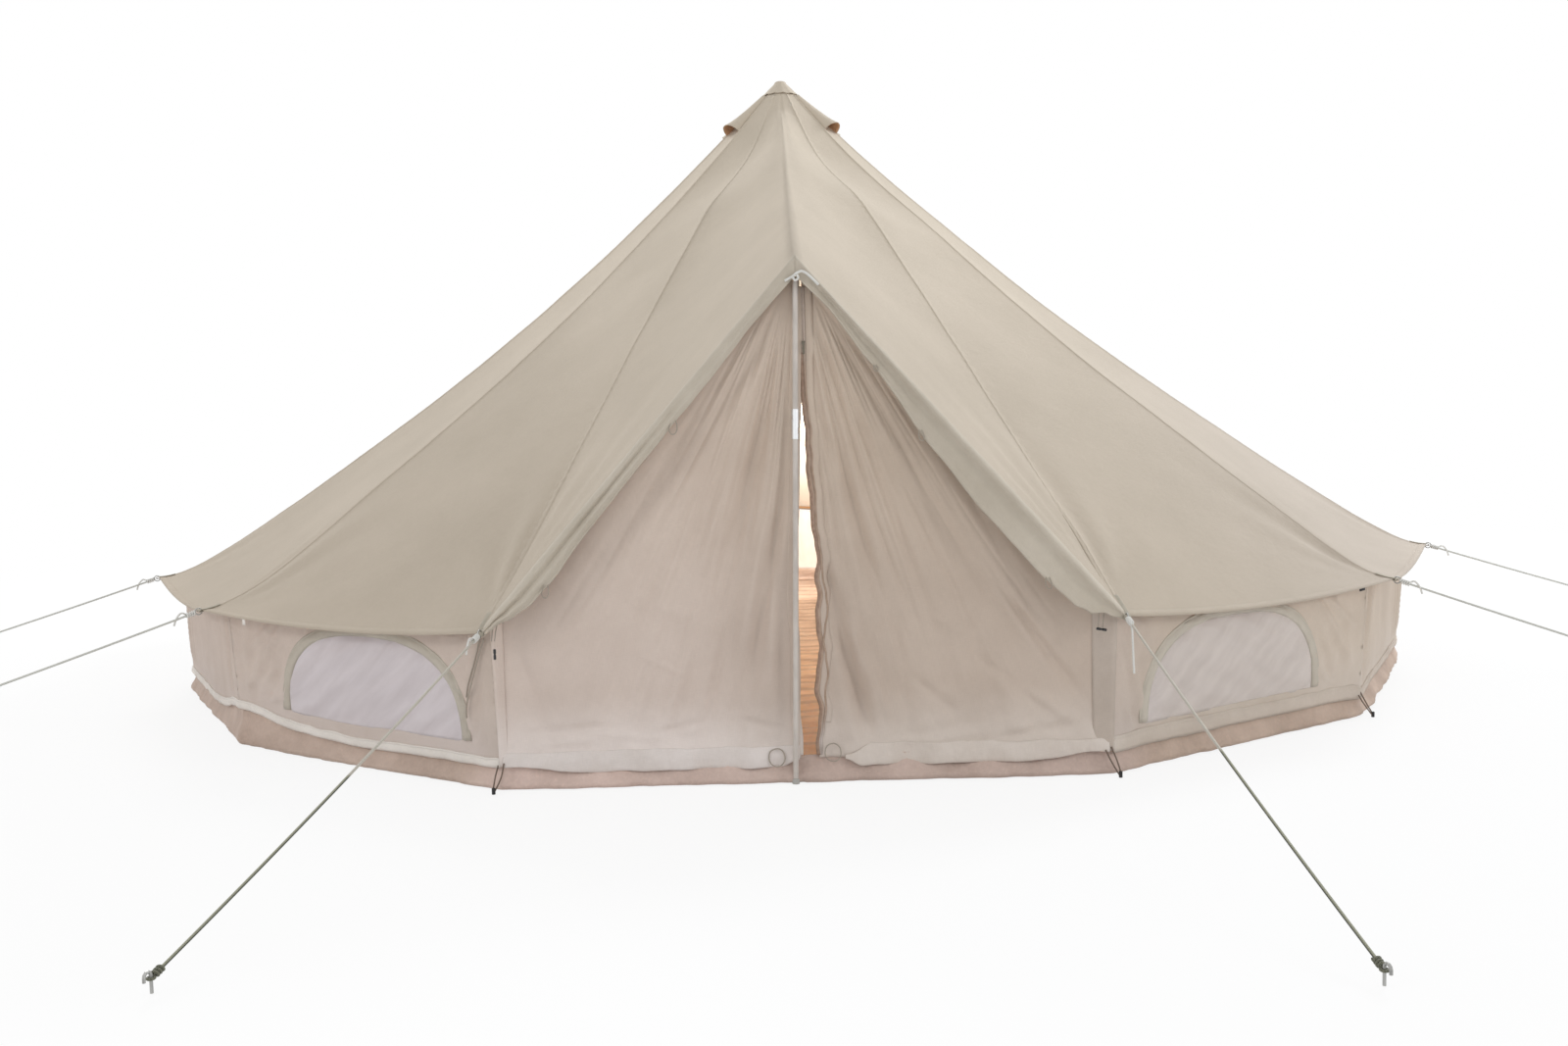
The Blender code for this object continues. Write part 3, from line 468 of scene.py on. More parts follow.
# Centre pole: two galvanised steel tubes, one plugged into the other, with a black rubber foot
# and a rubber tip that spreads the load of the roof.
def worn_metal(name, dark, light, rough, scale):
    """Plated steel: streaks along the tube, fine scratches and duller patches."""
    material, tree, shader = finish(name, light, rough, 1.0)
    streaks = pattern_source(tree, "Object", (1.0, 1.0, 0.06))
    fine = mottling(tree, streaks, scale, 5.0, 0.65)
    tree.links.new(between(tree, fine, 0.3, 0.7, dark, light), shader.inputs["Base Color"])
    patches = mottling(tree, pattern_source(tree, "Object"), 22.0, 3.0)
    low, high = (rough * 0.75,) * 3, (min(1.0, rough * 1.5),) * 3
    tree.links.new(between(tree, patches, 0.35, 0.65, low, high), shader.inputs["Roughness"])
    bumped(tree, shader, fine, 0.0004, 0.3)
    return material


def moulded(name, dark, light, rough, scale=160.0):
    """Rubber or plastic as it leaves the mould: a fine grain, paler where it is handled."""
    material, tree, shader = finish(name, light, rough)
    metres = pattern_source(tree, "Object")
    tone = mottling(tree, metres, scale * 0.2, 3.0)
    tree.links.new(between(tree, tone, 0.3, 0.7, dark, light), shader.inputs["Base Color"])
    grain = mottling(tree, metres, scale * 8.0, 2.0)
    bumped(tree, shader, grain, 0.0003, 0.5)
    rub = between(tree, tone, 0.35, 0.7, (rough * 0.85,) * 3, (min(1.0, rough * 1.1),) * 3)
    tree.links.new(rub, shader.inputs["Roughness"])
    return material


POLE_STEEL = worn_metal("pole_steel_look", (0.48, 0.49, 0.50), (0.70, 0.71, 0.72), 0.34, 240.0)
SLEEVE_STEEL = worn_metal("sleeve_steel_look", (0.74, 0.76, 0.78), (0.93, 0.94, 0.96), 0.26, 420.0)
PEG_STEEL = worn_metal("peg_steel_look", (0.30, 0.30, 0.29), (0.52, 0.52, 0.50), 0.42, 320.0)
BLACK_RUBBER = moulded("black_rubber_look", (0.014, 0.014, 0.015), (0.035, 0.034, 0.033), 0.78)


def dress(node, material):
    """Gives a CAD node that keeps its shape a finished material."""
    nodes[node].material_slots[0].material = material


for tube in ("center_pole_lower", "center_pole_upper"):
    dress(tube, POLE_STEEL)
for rubber in ("center_pole_foot", "center_pole_tip"):
    dress(rubber, BLACK_RUBBER)


# Wall: twelve panels of the tent's cotton canvas between the two sides of the door, sewn edge to
# edge and hung under the eave. It hangs slack, with pleats at the corners and round the windows.
EAVE_HEIGHT = 0.545
WALL_TOP_OUT = 0.03
WALL_LEAN = WALL_TOP_OUT / EAVE_HEIGHT      # outwards, for each metre of the wall's height
WALL_BOTTOM = 0.078
CANVAS_THICKNESS = 0.0016
WINDOW_PANELS = {"front_right": 0, "rear_right": 4, "rear_left": 7, "front_left": 11}
WINDOW_HALF_WIDTH, WINDOW_SILL, WINDOW_HEIGHT, WINDOW_SQUARENESS = 0.455, 0.15, 0.335, 2.6
WINDOW_FROM_END = 0.62          # its middle, from the end of the panel that is nearer to the door


def canvas(name, dark, light, blotch_scale=2.2, weave=0.0011, stain=None, fades=()):
    """Cotton canvas: plain weave with slubs, uneven dye, soft creases and a little dust."""
    material, tree, shader = finish(name, light, 0.92)
    shader.inputs["Specular IOR Level"].default_value = 0.18
    shader.inputs["Sheen Weight"].default_value = 0.12
    shader.inputs["Sheen Roughness"].default_value = 0.5
    metres = pattern_source(tree, "Object")
    cloth = pattern_source(tree, "UV")
    blotches = mottling(tree, metres, blotch_scale, 6.0, 0.62)
    color = between(tree, blotches, 0.32, 0.68, dark, light)
    slub_warp = mottling(tree, pattern_source(tree, "UV", (900.0, 38.0, 1.0)), 1.0, 2.0)
    slub_weft = mottling(tree, pattern_source(tree, "UV", (38.0, 900.0, 1.0)), 1.0, 2.0)
    slubs = mixed(tree, 0.5, slub_warp, slub_weft)
    flecks = between(tree, slubs, 0.35, 0.7, (0.9, 0.9, 0.9), (1.08, 1.08, 1.08))
    color = mixed(tree, 0.6, color, flecks, "MULTIPLY")
    if stain:
        clean_from, clean_at, dirt_color = stain
        dirt = between(tree, along_axis(tree, "Z"), clean_from, clean_at, (1.0,) * 3, (0.0,) * 3)
        patches = between(tree, blotches, 0.3, 0.6, (0.2,) * 3, (1.0,) * 3)
        color = mixed(tree, mixed(tree, 1.0, dirt, patches, "MULTIPLY"), color, dirt_color)
    tree.links.new(faded(tree, color, fades), shader.inputs["Base Color"])
    warp = threads(tree, cloth, weave, "X")
    weft = threads(tree, cloth, weave, "Y")
    crinkle = mottling(tree, metres, 26.0, 3.0, 0.5)
    height = added(tree, added(tree, crinkle, warp, 0.05), weft, 0.05)
    bumped(tree, shader, added(tree, height, slubs, 0.08), 0.004, 0.55)
    return material


# Painted light: the wall is lighter at the far left and a little lighter on the right.
WALL_CANVAS = canvas("wall_canvas_look", (0.56, 0.465, 0.395), (0.65, 0.55, 0.475), 3.0,
                     stain=(0.08, 0.3, (0.60, 0.52, 0.47)),
                     fades=(("X", -1.15, -0.98, (1.11, 1.11, 1.13), (1.0, 1.0, 1.0)),
                            ("X", 1.0, 1.3, (1.0, 1.0, 1.0), (1.035, 1.045, 1.01))))
BINDING_CANVAS = canvas("binding_canvas_look", (0.53, 0.475, 0.40), (0.61, 0.555, 0.47), 5.0)
# Painted light and shade: the foot hem is lighter at the left and darker on the right.
HEM_CANVAS = canvas("hem_canvas_look", (0.72, 0.655, 0.59), (0.83, 0.765, 0.70), 5.0,
                    fades=(("X", -1.15, -0.85, (1.10, 1.115, 1.13), (1.0, 1.0, 1.0)),
                           ("X", 0.85, 1.15, (1.0, 1.0, 1.0), (0.78, 0.735, 0.69))))
LINING = canvas("lining_look", (0.68, 0.61, 0.56), (0.78, 0.71, 0.66), 4.0)


def crease_sum(x, y, creases):
    """Folds along straight runs: each is its start, end, start width, end width and depth."""
    total = 0.0
    for x0, y0, x1, y1, width0, width1, depth in creases:
        run_x, run_y = x1 - x0, y1 - y0
        length_squared = run_x * run_x + run_y * run_y
        t = ((x - x0) * run_x + (y - y0) * run_y) / length_squared
        held = min(max(t, 0.0), 1.0)
        across = ((x - x0) * run_y - (y - y0) * run_x) / math.sqrt(length_squared)
        beyond = (t - held) * math.sqrt(length_squared)
        width = width0 + (width1 - width0) * held
        q = (across * across + beyond * beyond * 0.4) / (width * width)
        if q < 7.0:
            ends = min(1.0, 4 * held + 0.15) * min(1.0, 4 * (1 - held) + 0.25)
            total += depth * ends * (math.exp(-q) - 0.45 * math.exp(-q / 2.6))
    return total


class PanelPlan:
    """A wall panel laid flat: X runs along its foot from its middle, and Y up its slope."""

    def __init__(self, index):
        foot = [around(corner_azimuth(index + n), BASE_RADIUS) for n in (0, 1)]
        head = [around(corner_azimuth(index + n), BASE_RADIUS + WALL_TOP_OUT, EAVE_HEIGHT)
                for n in (0, 1)]
        self.index = index
        self.middle = foot[0].lerp(foot[1], 0.5)
        self.along = (foot[1] - foot[0]).normalized()
        self.up = (head[0].lerp(head[1], 0.5) - self.middle).normalized()
        self.out = self.along.cross(self.up)
        self.half = (foot[1] - foot[0]).length / 2
        offset = self.half - WINDOW_FROM_END
        self.window_middle = -offset if index < PANELS / 2 else offset

    def place(self, x, y, out=0.0):
        spot = self.middle + self.along * x
        raised = foot_lift(math.atan2(spot.x, -spot.y)) * (1 - blend_in(y, 0.08, 0.30))
        return spot + self.up * (y + raised) + self.out * out


wall_plans = [PanelPlan(index) for index in range(PANELS)]


def window_arch(plan, grow=0.0, steps=48):
    """The window outline from the right end of its sill over the arch to the left end."""
    arch = []
    for step in range(steps + 1):
        angle = math.pi * step / steps
        x = abs(math.cos(angle)) ** (2 / WINDOW_SQUARENESS)
        y = abs(math.sin(angle)) ** (2 / WINDOW_SQUARENESS)
        x = math.copysign(x, math.cos(angle))
        arch.append((plan.window_middle + x * (WINDOW_HALF_WIDTH + grow),
                     WINDOW_SILL - grow + y * (WINDOW_HEIGHT + 2 * grow)))
    return arch


def inside(x, y, outline):
    """Whether a point lies inside a closed outline."""
    within = False
    for (x0, y0), (x1, y1) in zip(outline, outline[1:] + outline[:1]):
        if (y0 > y) != (y1 > y) and x < (x1 - x0) * (y - y0) / (y1 - y0) + x0:
            within = not within
    return within


def edge_run(outline, spacing):
    """The outline with extra points, so that no side is longer than the spacing."""
    run = []
    for (x0, y0), (x1, y1) in zip(outline, outline[1:] + outline[:1]):
        pieces = max(1, round(math.hypot(x1 - x0, y1 - y0) / spacing))
        for n in range(pieces):
            run.append((x0 + (x1 - x0) * n / pieces, y0 + (y1 - y0) * n / pieces))
    return run


def cut_cloth(name, outline, hole, spacing, place, material, thickness):
    """Cloth cut to an outline, with or without a hole, and set out by place(x, y)."""
    outer = edge_run(outline, spacing)
    flat = list(outer)
    edges = [(n, (n + 1) % len(outer)) for n in range(len(outer))]
    inner = []
    if hole:
        inner = edge_run(hole, spacing)
        start = len(flat)
        flat += inner
        edges += [(start + n, start + (n + 1) % len(inner)) for n in range(len(inner))]
    low_x, high_x = min(p[0] for p in outer), max(p[0] for p in outer)
    low_y, high_y = min(p[1] for p in outer), max(p[1] for p in outer)
    rows = int((high_y - low_y) / (spacing * 0.87)) + 1
    columns = int((high_x - low_x) / spacing) + 2
    for row in range(rows + 1):
        for column in range(columns):
            x = low_x + (column + 0.5 * (row % 2)) * spacing
            y = low_y + row * spacing * 0.87
            if inside(x, y, outer) and not (hole and inside(x, y, inner)):
                near = min((x - px) ** 2 + (y - py) ** 2 for px, py in flat[:len(outer) + len(inner)])
                if near > (spacing * 0.45) ** 2:
                    flat.append((x, y))
    result = geometry.delaunay_2d_cdt([Vector(p) for p in flat], edges, [], 0, 1e-7)
    spots, faces = result[0], []
    for face in result[2]:
        x = sum(spots[n].x for n in face) / 3
        y = sum(spots[n].y for n in face) / 3
        if inside(x, y, outer) and not (hole and inside(x, y, inner)):
            faces.append(tuple(face))
    points = [place(spot.x, spot.y) for spot in spots]
    piece = mesh_piece(name, points, faces, material, [(spot.x, spot.y) for spot in spots])
    thicken(piece, thickness)
    return piece


# The wall stops under the roof, so the lines of the roof's seams are drawn here already.
ROOF_TOP_RADIUS, ROOF_TOP_HEIGHT = 0.03, 2.97
EAVE_REACH, DOOR_EAVE_REACH = 3.13, 3.09
EAVE_KICK = 0.045               # a guy rope lifts the lower end of its seam
SEAM_SAG = 0.20
# How far each seam hangs below a straight line, a little deeper on the left than on the right
SEAM_SAGS = (-0.032, 0.142, 0.18, 0.20, 0.20, 0.20, 0.20, 0.20, 0.20, 0.20, 0.215, 0.192, -0.016)


def eave_reach(index):
    return DOOR_EAVE_REACH if index in (0, PANELS) else EAVE_REACH


def seam_share(radius):
    """Where on its way from the apex, at 0, to the eave, at 1, a seam is at a radius."""
    return (radius - ROOF_TOP_RADIUS) / (EAVE_REACH - ROOF_TOP_RADIUS)


def seam_height(s, own_sag=SEAM_SAG, kick=EAVE_KICK):
    """Height of a roof seam at s, from 0 at the apex to 1 at the eave corner."""
    sag = SEAM_SAG + (own_sag - SEAM_SAG) * blend_in(s, 0.09, 0.35)
    straight = ROOF_TOP_HEIGHT + (EAVE_HEIGHT - ROOF_TOP_HEIGHT) * s
    peak = 12 ** 12 / 13 ** 13
    return straight - sag * 4 * s * (1 - s) - kick * s ** 12 * (1 - s) / peak


def seam_point(index, s):
    reach = ROOF_TOP_RADIUS + (eave_reach(index) - ROOF_TOP_RADIUS) * s
    kick = 0.0 if index in (0, PANELS) else EAVE_KICK
    return around(corner_azimuth(index), reach, seam_height(s, SEAM_SAGS[index], kick))


def gore_point(index, w, s):
    point = seam_point(index, s).lerp(seam_point(index + 1, s), w)
    point.z -= 4 * w * (1 - w) * (0.03 * math.sin(math.pi * s) ** 2 + 0.035 * s ** 6)
    return point


WALL_TOP, WALL_TOP_DIP, WALL_TOP_GAP = 0.5425, 0.030, 0.004


def wall_top(plan, x):
    """Height up the wall's slope at which it disappears under the eave."""
    w = (x / plan.half + 1) / 2
    return WALL_TOP - WALL_TOP_DIP * 4 * max(w, 0.0) * max(1 - w, 0.0) - WALL_TOP_GAP


CORNER_PLEATS, OTHER_PLEATS = {0: 0.003, 1: 0.019, PANELS - 2: 0.014, PANELS - 1: 0.004}, 0.007
WINDOW_CREASES = (      # beside the window's middle, away from the door, and up: as in crease_sum
    (-0.60, 0.52, -0.48, 0.20, 0.012, 0.020, 0.018),
    (-0.615, 0.44, -0.53, 0.12, 0.011, 0.020, 0.014),
    (-0.58, 0.30, -0.50, 0.14, 0.010, 0.016, -0.010),
    (-0.44, 0.40, -0.52, 0.52, 0.012, 0.02, 0.010),
    (0.44, 0.52, 0.72, 0.20, 0.014, 0.030, 0.018),
    (0.51, 0.50, 0.75, 0.33, 0.012, 0.024, 0.014),
    (0.40, 0.52, 0.60, 0.12, 0.012, 0.028, -0.012),
    (0.47, 0.22, 0.66, 0.11, 0.012, 0.026, 0.012),
    (0.49, 0.34, 0.62, 0.24, 0.010, 0.018, 0.008),
)


def wall_slack(plan, x, y):
    """How far the hanging wall stands out of its plane, from its folds and creases."""
    end = min(plan.half - x, plan.half + x)
    held = blend_in(end, 0.0, 0.10) * blend_in(y, 0.09, 0.2)
    run = x + plan.index * 3.1
    billow = 0.008 * ripple(run * 2.0, y * 2.4, 3.0) + 0.004 * ripple(run * 6.0, y * 4.0, 8.0)
    gathered = CORNER_PLEATS.get(plan.index, OTHER_PLEATS)
    pleats = gathered * math.exp(-(end / 0.22) ** 2) * math.sin(end * 88.0 + 3 * ripple(run * 3, y * 2))
    puckers = 0.0035 * ripple(run * 21.0, y * 5.0, 1.0) * blend_in(y, 0.36, 0.5)
    foot = 0.006 * ripple(run * 13.0, y * 11.0, 5.0) * (1 - blend_in(y, 0.12, 0.26))
    total = billow + pleats + puckers + foot
    if plan.index in WINDOW_PANELS.values():
        side = 1 if plan.index < PANELS / 2 else -1
        near = (x - plan.window_middle) * side
        total += 1.35 * crease_sum(near, y, WINDOW_CREASES)
        window_top = WINDOW_SILL + WINDOW_HEIGHT
        outside = max(abs(x - plan.window_middle) - WINDOW_HALF_WIDTH, y - window_top, 0.0)
        turn = math.atan2(y - 0.22, near)
        gather = 0.0055 * (0.30 - abs(ripple(turn * 8.0, outside * 3.0, plan.index + 3.0)))
        total += 2.4 * gather * math.exp(-outside / 0.13) * blend_in(outside, 0.0, 0.03)
        if abs(x - plan.window_middle) < WINDOW_HALF_WIDTH + 0.06 and y < 0.50:
            total *= 0.35 + 0.65 * min(outside / 0.06, 1.0)
    return total * held


def wall_point(plan, x, y):
    return plan.place(x, y, wall_slack(plan, x, y))


for plan in wall_plans:
    top = [plan.half * (1 - 2 * n / 30) for n in range(31)]
    spread = WALL_LEAN * 0.27 * 0.5
    outline = [(-plan.half - 0.001, WALL_BOTTOM), (plan.half + 0.001, WALL_BOTTOM)]
    outline += [(x * (1 + spread), wall_top(plan, x)) for x in top]
    hole = window_arch(plan) if plan.index in WINDOW_PANELS.values() else None
    spacing = 0.015 if plan.index in CORNER_PLEATS else 0.022
    number = plan.index + 1
    panel = cut_cloth(f"wall_panel_{number:02d}", outline, hole, spacing,
                      lambda x, y, plan=plan: wall_point(plan, x, y), WALL_CANVAS, CANVAS_THICKNESS)
    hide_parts(f"wall_{number:02d}")
    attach(panel, "tent")


def strip_along(name, stations, profile, material):
    """A closed strip or roll that follows stations, each (point, out, side, run).

    profile(run) gives the pairs (side, out) of the section there, in metres.
    """
    points, uv, faces = [], [], []
    for point, out, side, run in stations:
        section = profile(run)
        for n, (across, away) in enumerate(section):
            points.append(point + side * across + out * away)
            uv.append((run, n * 0.01))
    count = len(profile(0.0))
    rings = len(stations)
    for ring in range(rings - 1):
        for n in range(count):
            a, b = ring * count + n, ring * count + (n + 1) % count
            faces.append((a, b, b + count, a + count))
    faces.append(tuple(range(count))[::-1])
    faces.append(tuple((rings - 1) * count + n for n in range(count)))
    strip = mesh_piece(name, points, faces, material, uv)
    shape = bmesh.new()
    shape.from_mesh(strip.data)
    bmesh.ops.recalc_face_normals(shape, faces=shape.faces[:])
    shape.to_mesh(strip.data)
    shape.free()
    return strip


def rolled_hem(run):
    """Section of the wall's rolled foot hem: soft, uneven, with its seam line near the top."""
    thick = 0.0100 + 0.0040 * ripple(run * 2.3, 4.0) + 0.0060 * ripple(run * 15.0, 6.0)
    front_right = 1 - blend_in(run, 1.34, 1.42)
    thick *= 1 - 0.4 * front_right
    tall = 0.032 + 0.006 * ripple(run * 1.7, 1.0) + 0.005 * ripple(run * 12.0, 2.0) + 0.024 * front_right
    drop = -0.004 * (1 + ripple(run * 3.2, 7.0)) - 0.003 * ripple(run * 9.0, 3.0)
    flat = 0.75 + 0.35 * ripple(run * 19.0, 11.0)
    return ((drop, -0.001), (drop - 0.002, thick * 0.5), (drop + tall * 0.2, thick * flat),
            (drop + tall * 0.5, thick * 0.85 + 0.001 * ripple(run * 25.0, 9.0)),
            (drop + tall * 0.72, thick * 0.5), (drop + tall * 0.78, thick * 0.28),
            (drop + tall * 0.86, thick * 0.55), (drop + tall, thick * 0.35), (drop + tall, -0.001))


HEM_STEPS = 90


def hem_stations():
    stations = []
    run = 0.0
    for plan in wall_plans:
        for n in range(HEM_STEPS + (1 if plan.index == PANELS - 1 else 0)):
            x = plan.half * (2 * n / HEM_STEPS - 1)
            point = plan.place(x, WALL_BOTTOM - 0.002, 0.001)
            stations.append((point, plan.out, plan.up, run + x + plan.half))
        run += 2 * plan.half
    return stations


wall_hem = strip_along("wall_foot_hem", hem_stations(), rolled_hem, HEM_CANVAS)
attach(wall_hem, "tent")


# Windows: an insect net sewn into an arch with a puckered binding, and behind it, inside, a
# D-shaped cover that is fastened along its sill and drops when it is let go.
def net_material():
    """Fine insect net: pale round threads over darker holes, slightly shiny, with painted light and shade
    in folds.
    """
    material, tree, shader = finish("window_net_look", (0.58, 0.52, 0.52), 0.55)
    cloth = pattern_source(tree, "UV", turn_z=math.radians(2.0))
    warp = threads(tree, cloth, 0.0019, "X")
    weft = threads(tree, cloth, 0.0019, "Y")
    higher = tree.nodes.new("ShaderNodeMath")
    higher.operation = "MAXIMUM"
    tree.links.new(warp, higher.inputs[0])
    tree.links.new(weft, higher.inputs[1])
    thread_color = between(tree, higher.outputs[0], 0.3, 0.8, (0.49, 0.42, 0.43), (0.79, 0.73, 0.74))
    slanted = pattern_source(tree, "UV", (1.0, 0.16, 1.0), math.radians(38.0))
    slanted.node.vector_type = "TEXTURE"
    # Painted light and shade: lighter and darker diagonal bands where the net folds.
    sheen_bands = mottling(tree, slanted, 3.2, 3.0)
    light = between(tree, sheen_bands, 0.35, 0.65, (0.94, 0.93, 0.93), (1.05, 1.05, 1.055))
    color = mixed(tree, 1.0, thread_color, light, "MULTIPLY")
    # Painted shade: the net darkens and yellows towards the right.
    color = faded(tree, color, (("X", 0.9, 1.3, (1.02, 1.02, 1.02), (0.94, 0.92, 0.83)),))
    tree.links.new(color, shader.inputs["Base Color"])
    bumped(tree, shader, added(tree, higher.outputs[0], sheen_bands, 0.6), 0.0012, 0.5)
    return material


NET = net_material()
NET_LAP, COVER_LAP, COVER_BEHIND = 0.006, 0.012, 0.0065


def cover_point(plan, x, y):
    return plan.place(x, y, -COVER_BEHIND + 0.0015 * ripple(x * 7.0, y * 7.0, 2.0 + plan.index))


for window, index in WINDOW_PANELS.items():
    plan = wall_plans[index]
    side = 1 if index < PANELS / 2 else -1

    def net_point(x, y, plan=plan, side=side):
        middle = (x - plan.window_middle) * side
        free = min(1.0, 6 * max(0.0, 1 - abs(middle / WINDOW_HALF_WIDTH) ** WINDOW_SQUARENESS
                                - abs((y - WINDOW_SILL) / WINDOW_HEIGHT) ** WINDOW_SQUARENESS))
        free *= min(1.0, max(0.0, y - WINDOW_SILL) / 0.05)
        lean = middle * 0.8 + y * 1.5
        folds = 0.0040 * (1 + math.sin(lean * 36.0 + 2.5 * ripple(x * 3, y * 3)))
        folds += 0.003 * (1 + ripple(x * 4, y * 4, 7.0))
        return plan.place(x, y, folds * free)

    net_arch = window_arch(plan, NET_LAP)
    net = cut_cloth(f"window_net_cloth_{window}", net_arch, None, 0.015, net_point, NET, 0.0011)
    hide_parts(f"window_net_{window}")
    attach(net, "tent")

    cover_arch = window_arch(plan, COVER_LAP)
    cover = cut_cloth(f"window_cover_cloth_{window}", cover_arch, None, 0.03,
                      lambda x, y, plan=plan: cover_point(plan, x, y), LINING, 0.0014)
    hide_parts(f"window_cover_{window}")
    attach(cover, f"cover_{window}")

    arch = window_arch(plan, 0.0, 96)
    stations = []
    run = 0.0
    for n, (x, y) in enumerate(arch):
        before, after = arch[max(n - 1, 0)], arch[min(n + 1, len(arch) - 1)]
        tangent = Vector((after[0] - before[0], after[1] - before[1])).normalized()
        if n:
            run += math.hypot(x - arch[n - 1][0], y - arch[n - 1][1])
        outward = plan.along * tangent.y - plan.up * tangent.x
        stations.append((wall_point(plan, x, y), plan.out, outward, run))

    def binding(run, seed=index):
        wide = 0.038 + 0.005 * ripple(run * 7.0, seed)
        pucker = 0.0095 * ripple(run * 30.0, seed, 2.0)
        crown = 0.0065 + 0.0032 * ripple(run * 16.0, seed, 5.0)
        return ((-0.004, -0.0005), (-0.005, 0.0022), (0.006, crown * 0.9), (wide * 0.4, crown + pucker),
                (wide * 0.72, crown * 0.75 - pucker), (wide * 0.8, 0.0020),
                (wide * 0.88, 0.0036 + pucker * 0.4), (wide, 0.0022), (wide, -0.0005))

    frame_strip = strip_along(f"window_binding_{window}", stations, binding, BINDING_CANVAS)
    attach(frame_strip, "tent")


# Roof: one bell-shaped sheet of cotton canvas from the apex to the eave, drawn tight by the guy
# ropes. Its gores meet in felled seams, and it is hemmed along the eave and the door opening.
# Painted light: the roof is lighter towards the top and cooler on the right, where the right lamp falls.
ROOF_CANVAS = canvas("roof_canvas_look", (0.528, 0.462, 0.372), (0.585, 0.513, 0.418), 1.6,
                     fades=(("Z", 0.5, 2.6, (0.975, 0.955, 0.945), (1.12, 1.11, 1.10)),
                            ("X", 1.0, 2.6, (1.0, 1.0, 1.0), (0.98, 0.99, 1.035))))
BAND_CANVAS = canvas("band_canvas_look", (0.52, 0.46, 0.375), (0.61, 0.545, 0.455), 3.0)
RIDGE_REACH, RIDGE_END_HEIGHT, RIDGE_LEAVES_CONE = 2.86212, 1.732, 0.185
ROOF_ROWS = 126
SEAM_LENGTH = 3.96


def ridge_point(s):
    reach = ROOF_TOP_RADIUS + (RIDGE_REACH - ROOF_TOP_RADIUS) * s
    if reach < RIDGE_LEAVES_CONE:
        return Vector((0.0, -reach, seam_height(seam_share(reach))))
    along = (reach - RIDGE_LEAVES_CONE) / (RIDGE_REACH - RIDGE_LEAVES_CONE)
    start = seam_height(seam_share(RIDGE_LEAVES_CONE))
    height = start + (RIDGE_END_HEIGHT - start) * along - 0.08 * 4 * along * (1 - along)
    return Vector((0.0, -reach, height))


def door_roof_point(side, t, s):
    """The roof over the door: t runs from the ridge to the door seam, side is 1 right, -1 left."""
    seam = seam_point(0 if side > 0 else PANELS, s)
    point = ridge_point(s).lerp(seam, t)
    point.z -= 0.03 * 4 * t * (1 - t) * math.sin(math.pi * s) ** 2
    rounding = 0.030 * math.sin(math.pi * min(s, 1.0)) ** 0.7 * (1 - 0.75 * s)
    point.z -= rounding * math.exp(-(t / 0.16) ** 2)
    return point


def roof_base(part, w, s):
    """part is a gore number, or "right" or "left" of the ridge over the door."""
    if part == "right":
        return door_roof_point(1, w, s)
    if part == "left":
        return door_roof_point(-1, 1 - w, s)
    return gore_point(part, w, s)


def roof_slack(point, s):
    """Unevenness of the tight cloth: it fades out under the cap and along the eave corners."""
    broad = 0.009 * ripple(point.x * 0.9, point.y * 0.9, point.z * 0.9 + 4.0)
    middle = 0.0028 * ripple(point.x * 3.1, point.y * 3.1, point.z * 3.1 + 1.0)
    small = 0.0010 * ripple(point.x * 9.0, point.y * 9.0, point.z * 9.0 + 7.0)
    slack = (broad + middle + small) * blend_in(s, 0.05, 0.2) * (1 - 0.8 * blend_in(s, 0.94, 1.0))
    return slack + (corner_folds(point) if s > 0.68 else 0.0)


def corner_folds(point):
    """Folds that run up the roof from each eave corner, where the guy ropes gather the cloth."""
    total = 0.0
    for index in range(PANELS + 1):
        corner = seam_point(index, 1.0)
        away = Vector((point.x - corner.x, point.y - corner.y))
        distance = away.length
        if 0.001 < distance < 0.95:
            azimuth = corner_azimuth(index)
            up_roof = Vector((-math.sin(azimuth), math.cos(azimuth)))
            turn = math.atan2(up_roof.x * away.y - up_roof.y * away.x, up_roof.dot(away))
            depth = {0: 0.0075, PANELS: 0.0080, 1: 0.0070, PANELS - 1: 0.0060}.get(index, 0.0040)
            held = blend_in(distance, 0.06, 0.26) * (1 - blend_in(distance, 0.3, 0.95))
            wave = math.sin(turn * 16.0 + 2.4 * ripple(distance * 2.0, index * 3.0) + index)
            total += depth * held * math.exp(-(turn / 0.75) ** 2) * wave
    return total


def roof_point(part, w, s, lift=0.0):
    """A point of the finished roof sheet, lifted off it by lift."""
    step = 0.01
    here = roof_base(part, w, s)
    along_w = roof_base(part, w + step, s) - roof_base(part, w - step, s)
    low, high = max(s - step, 0.0), min(s + step, 1.0)
    along_s = roof_base(part, w, high) - roof_base(part, w, low)
    normal = along_w.cross(along_s).normalized()
    if normal.z < 0:
        normal.negate()
    return here + normal * (roof_slack(here, s) + lift)


GORE_STEPS = (      # across a gore, closest where it comes out from under its seam
    0.0, 0.009, 0.019, 0.032, 0.048, 0.068, 0.093, 0.125, 0.17, 0.23, 0.31, 0.40, 0.5, 0.60, 0.69, 0.77,
    0.83, 0.875, 0.907, 0.932, 0.952, 0.968, 0.981, 0.991,
)
DOOR_STEPS = tuple(n / 26 for n in range(26))
roof_columns = [("right", w) for w in DOOR_STEPS]
roof_columns += [(gore, w) for gore in range(PANELS) for w in GORE_STEPS]
roof_columns += [("left", w) for w in DOOR_STEPS]


def roof_sheet_point(column, row):
    part, w = roof_columns[column % len(roof_columns)]
    s = 1 - (1 - row / ROOF_ROWS) ** 1.04
    point = roof_point(part, w, s)
    middle = {"right": 0.0, "left": 1.0}.get(part, 0.5)
    across = (roof_base(part, w, 0.75) - roof_base(part, middle, 0.75)).length
    return point, (math.copysign(across, w - middle) * (0.15 + 1.15 * s), s * SEAM_LENGTH)


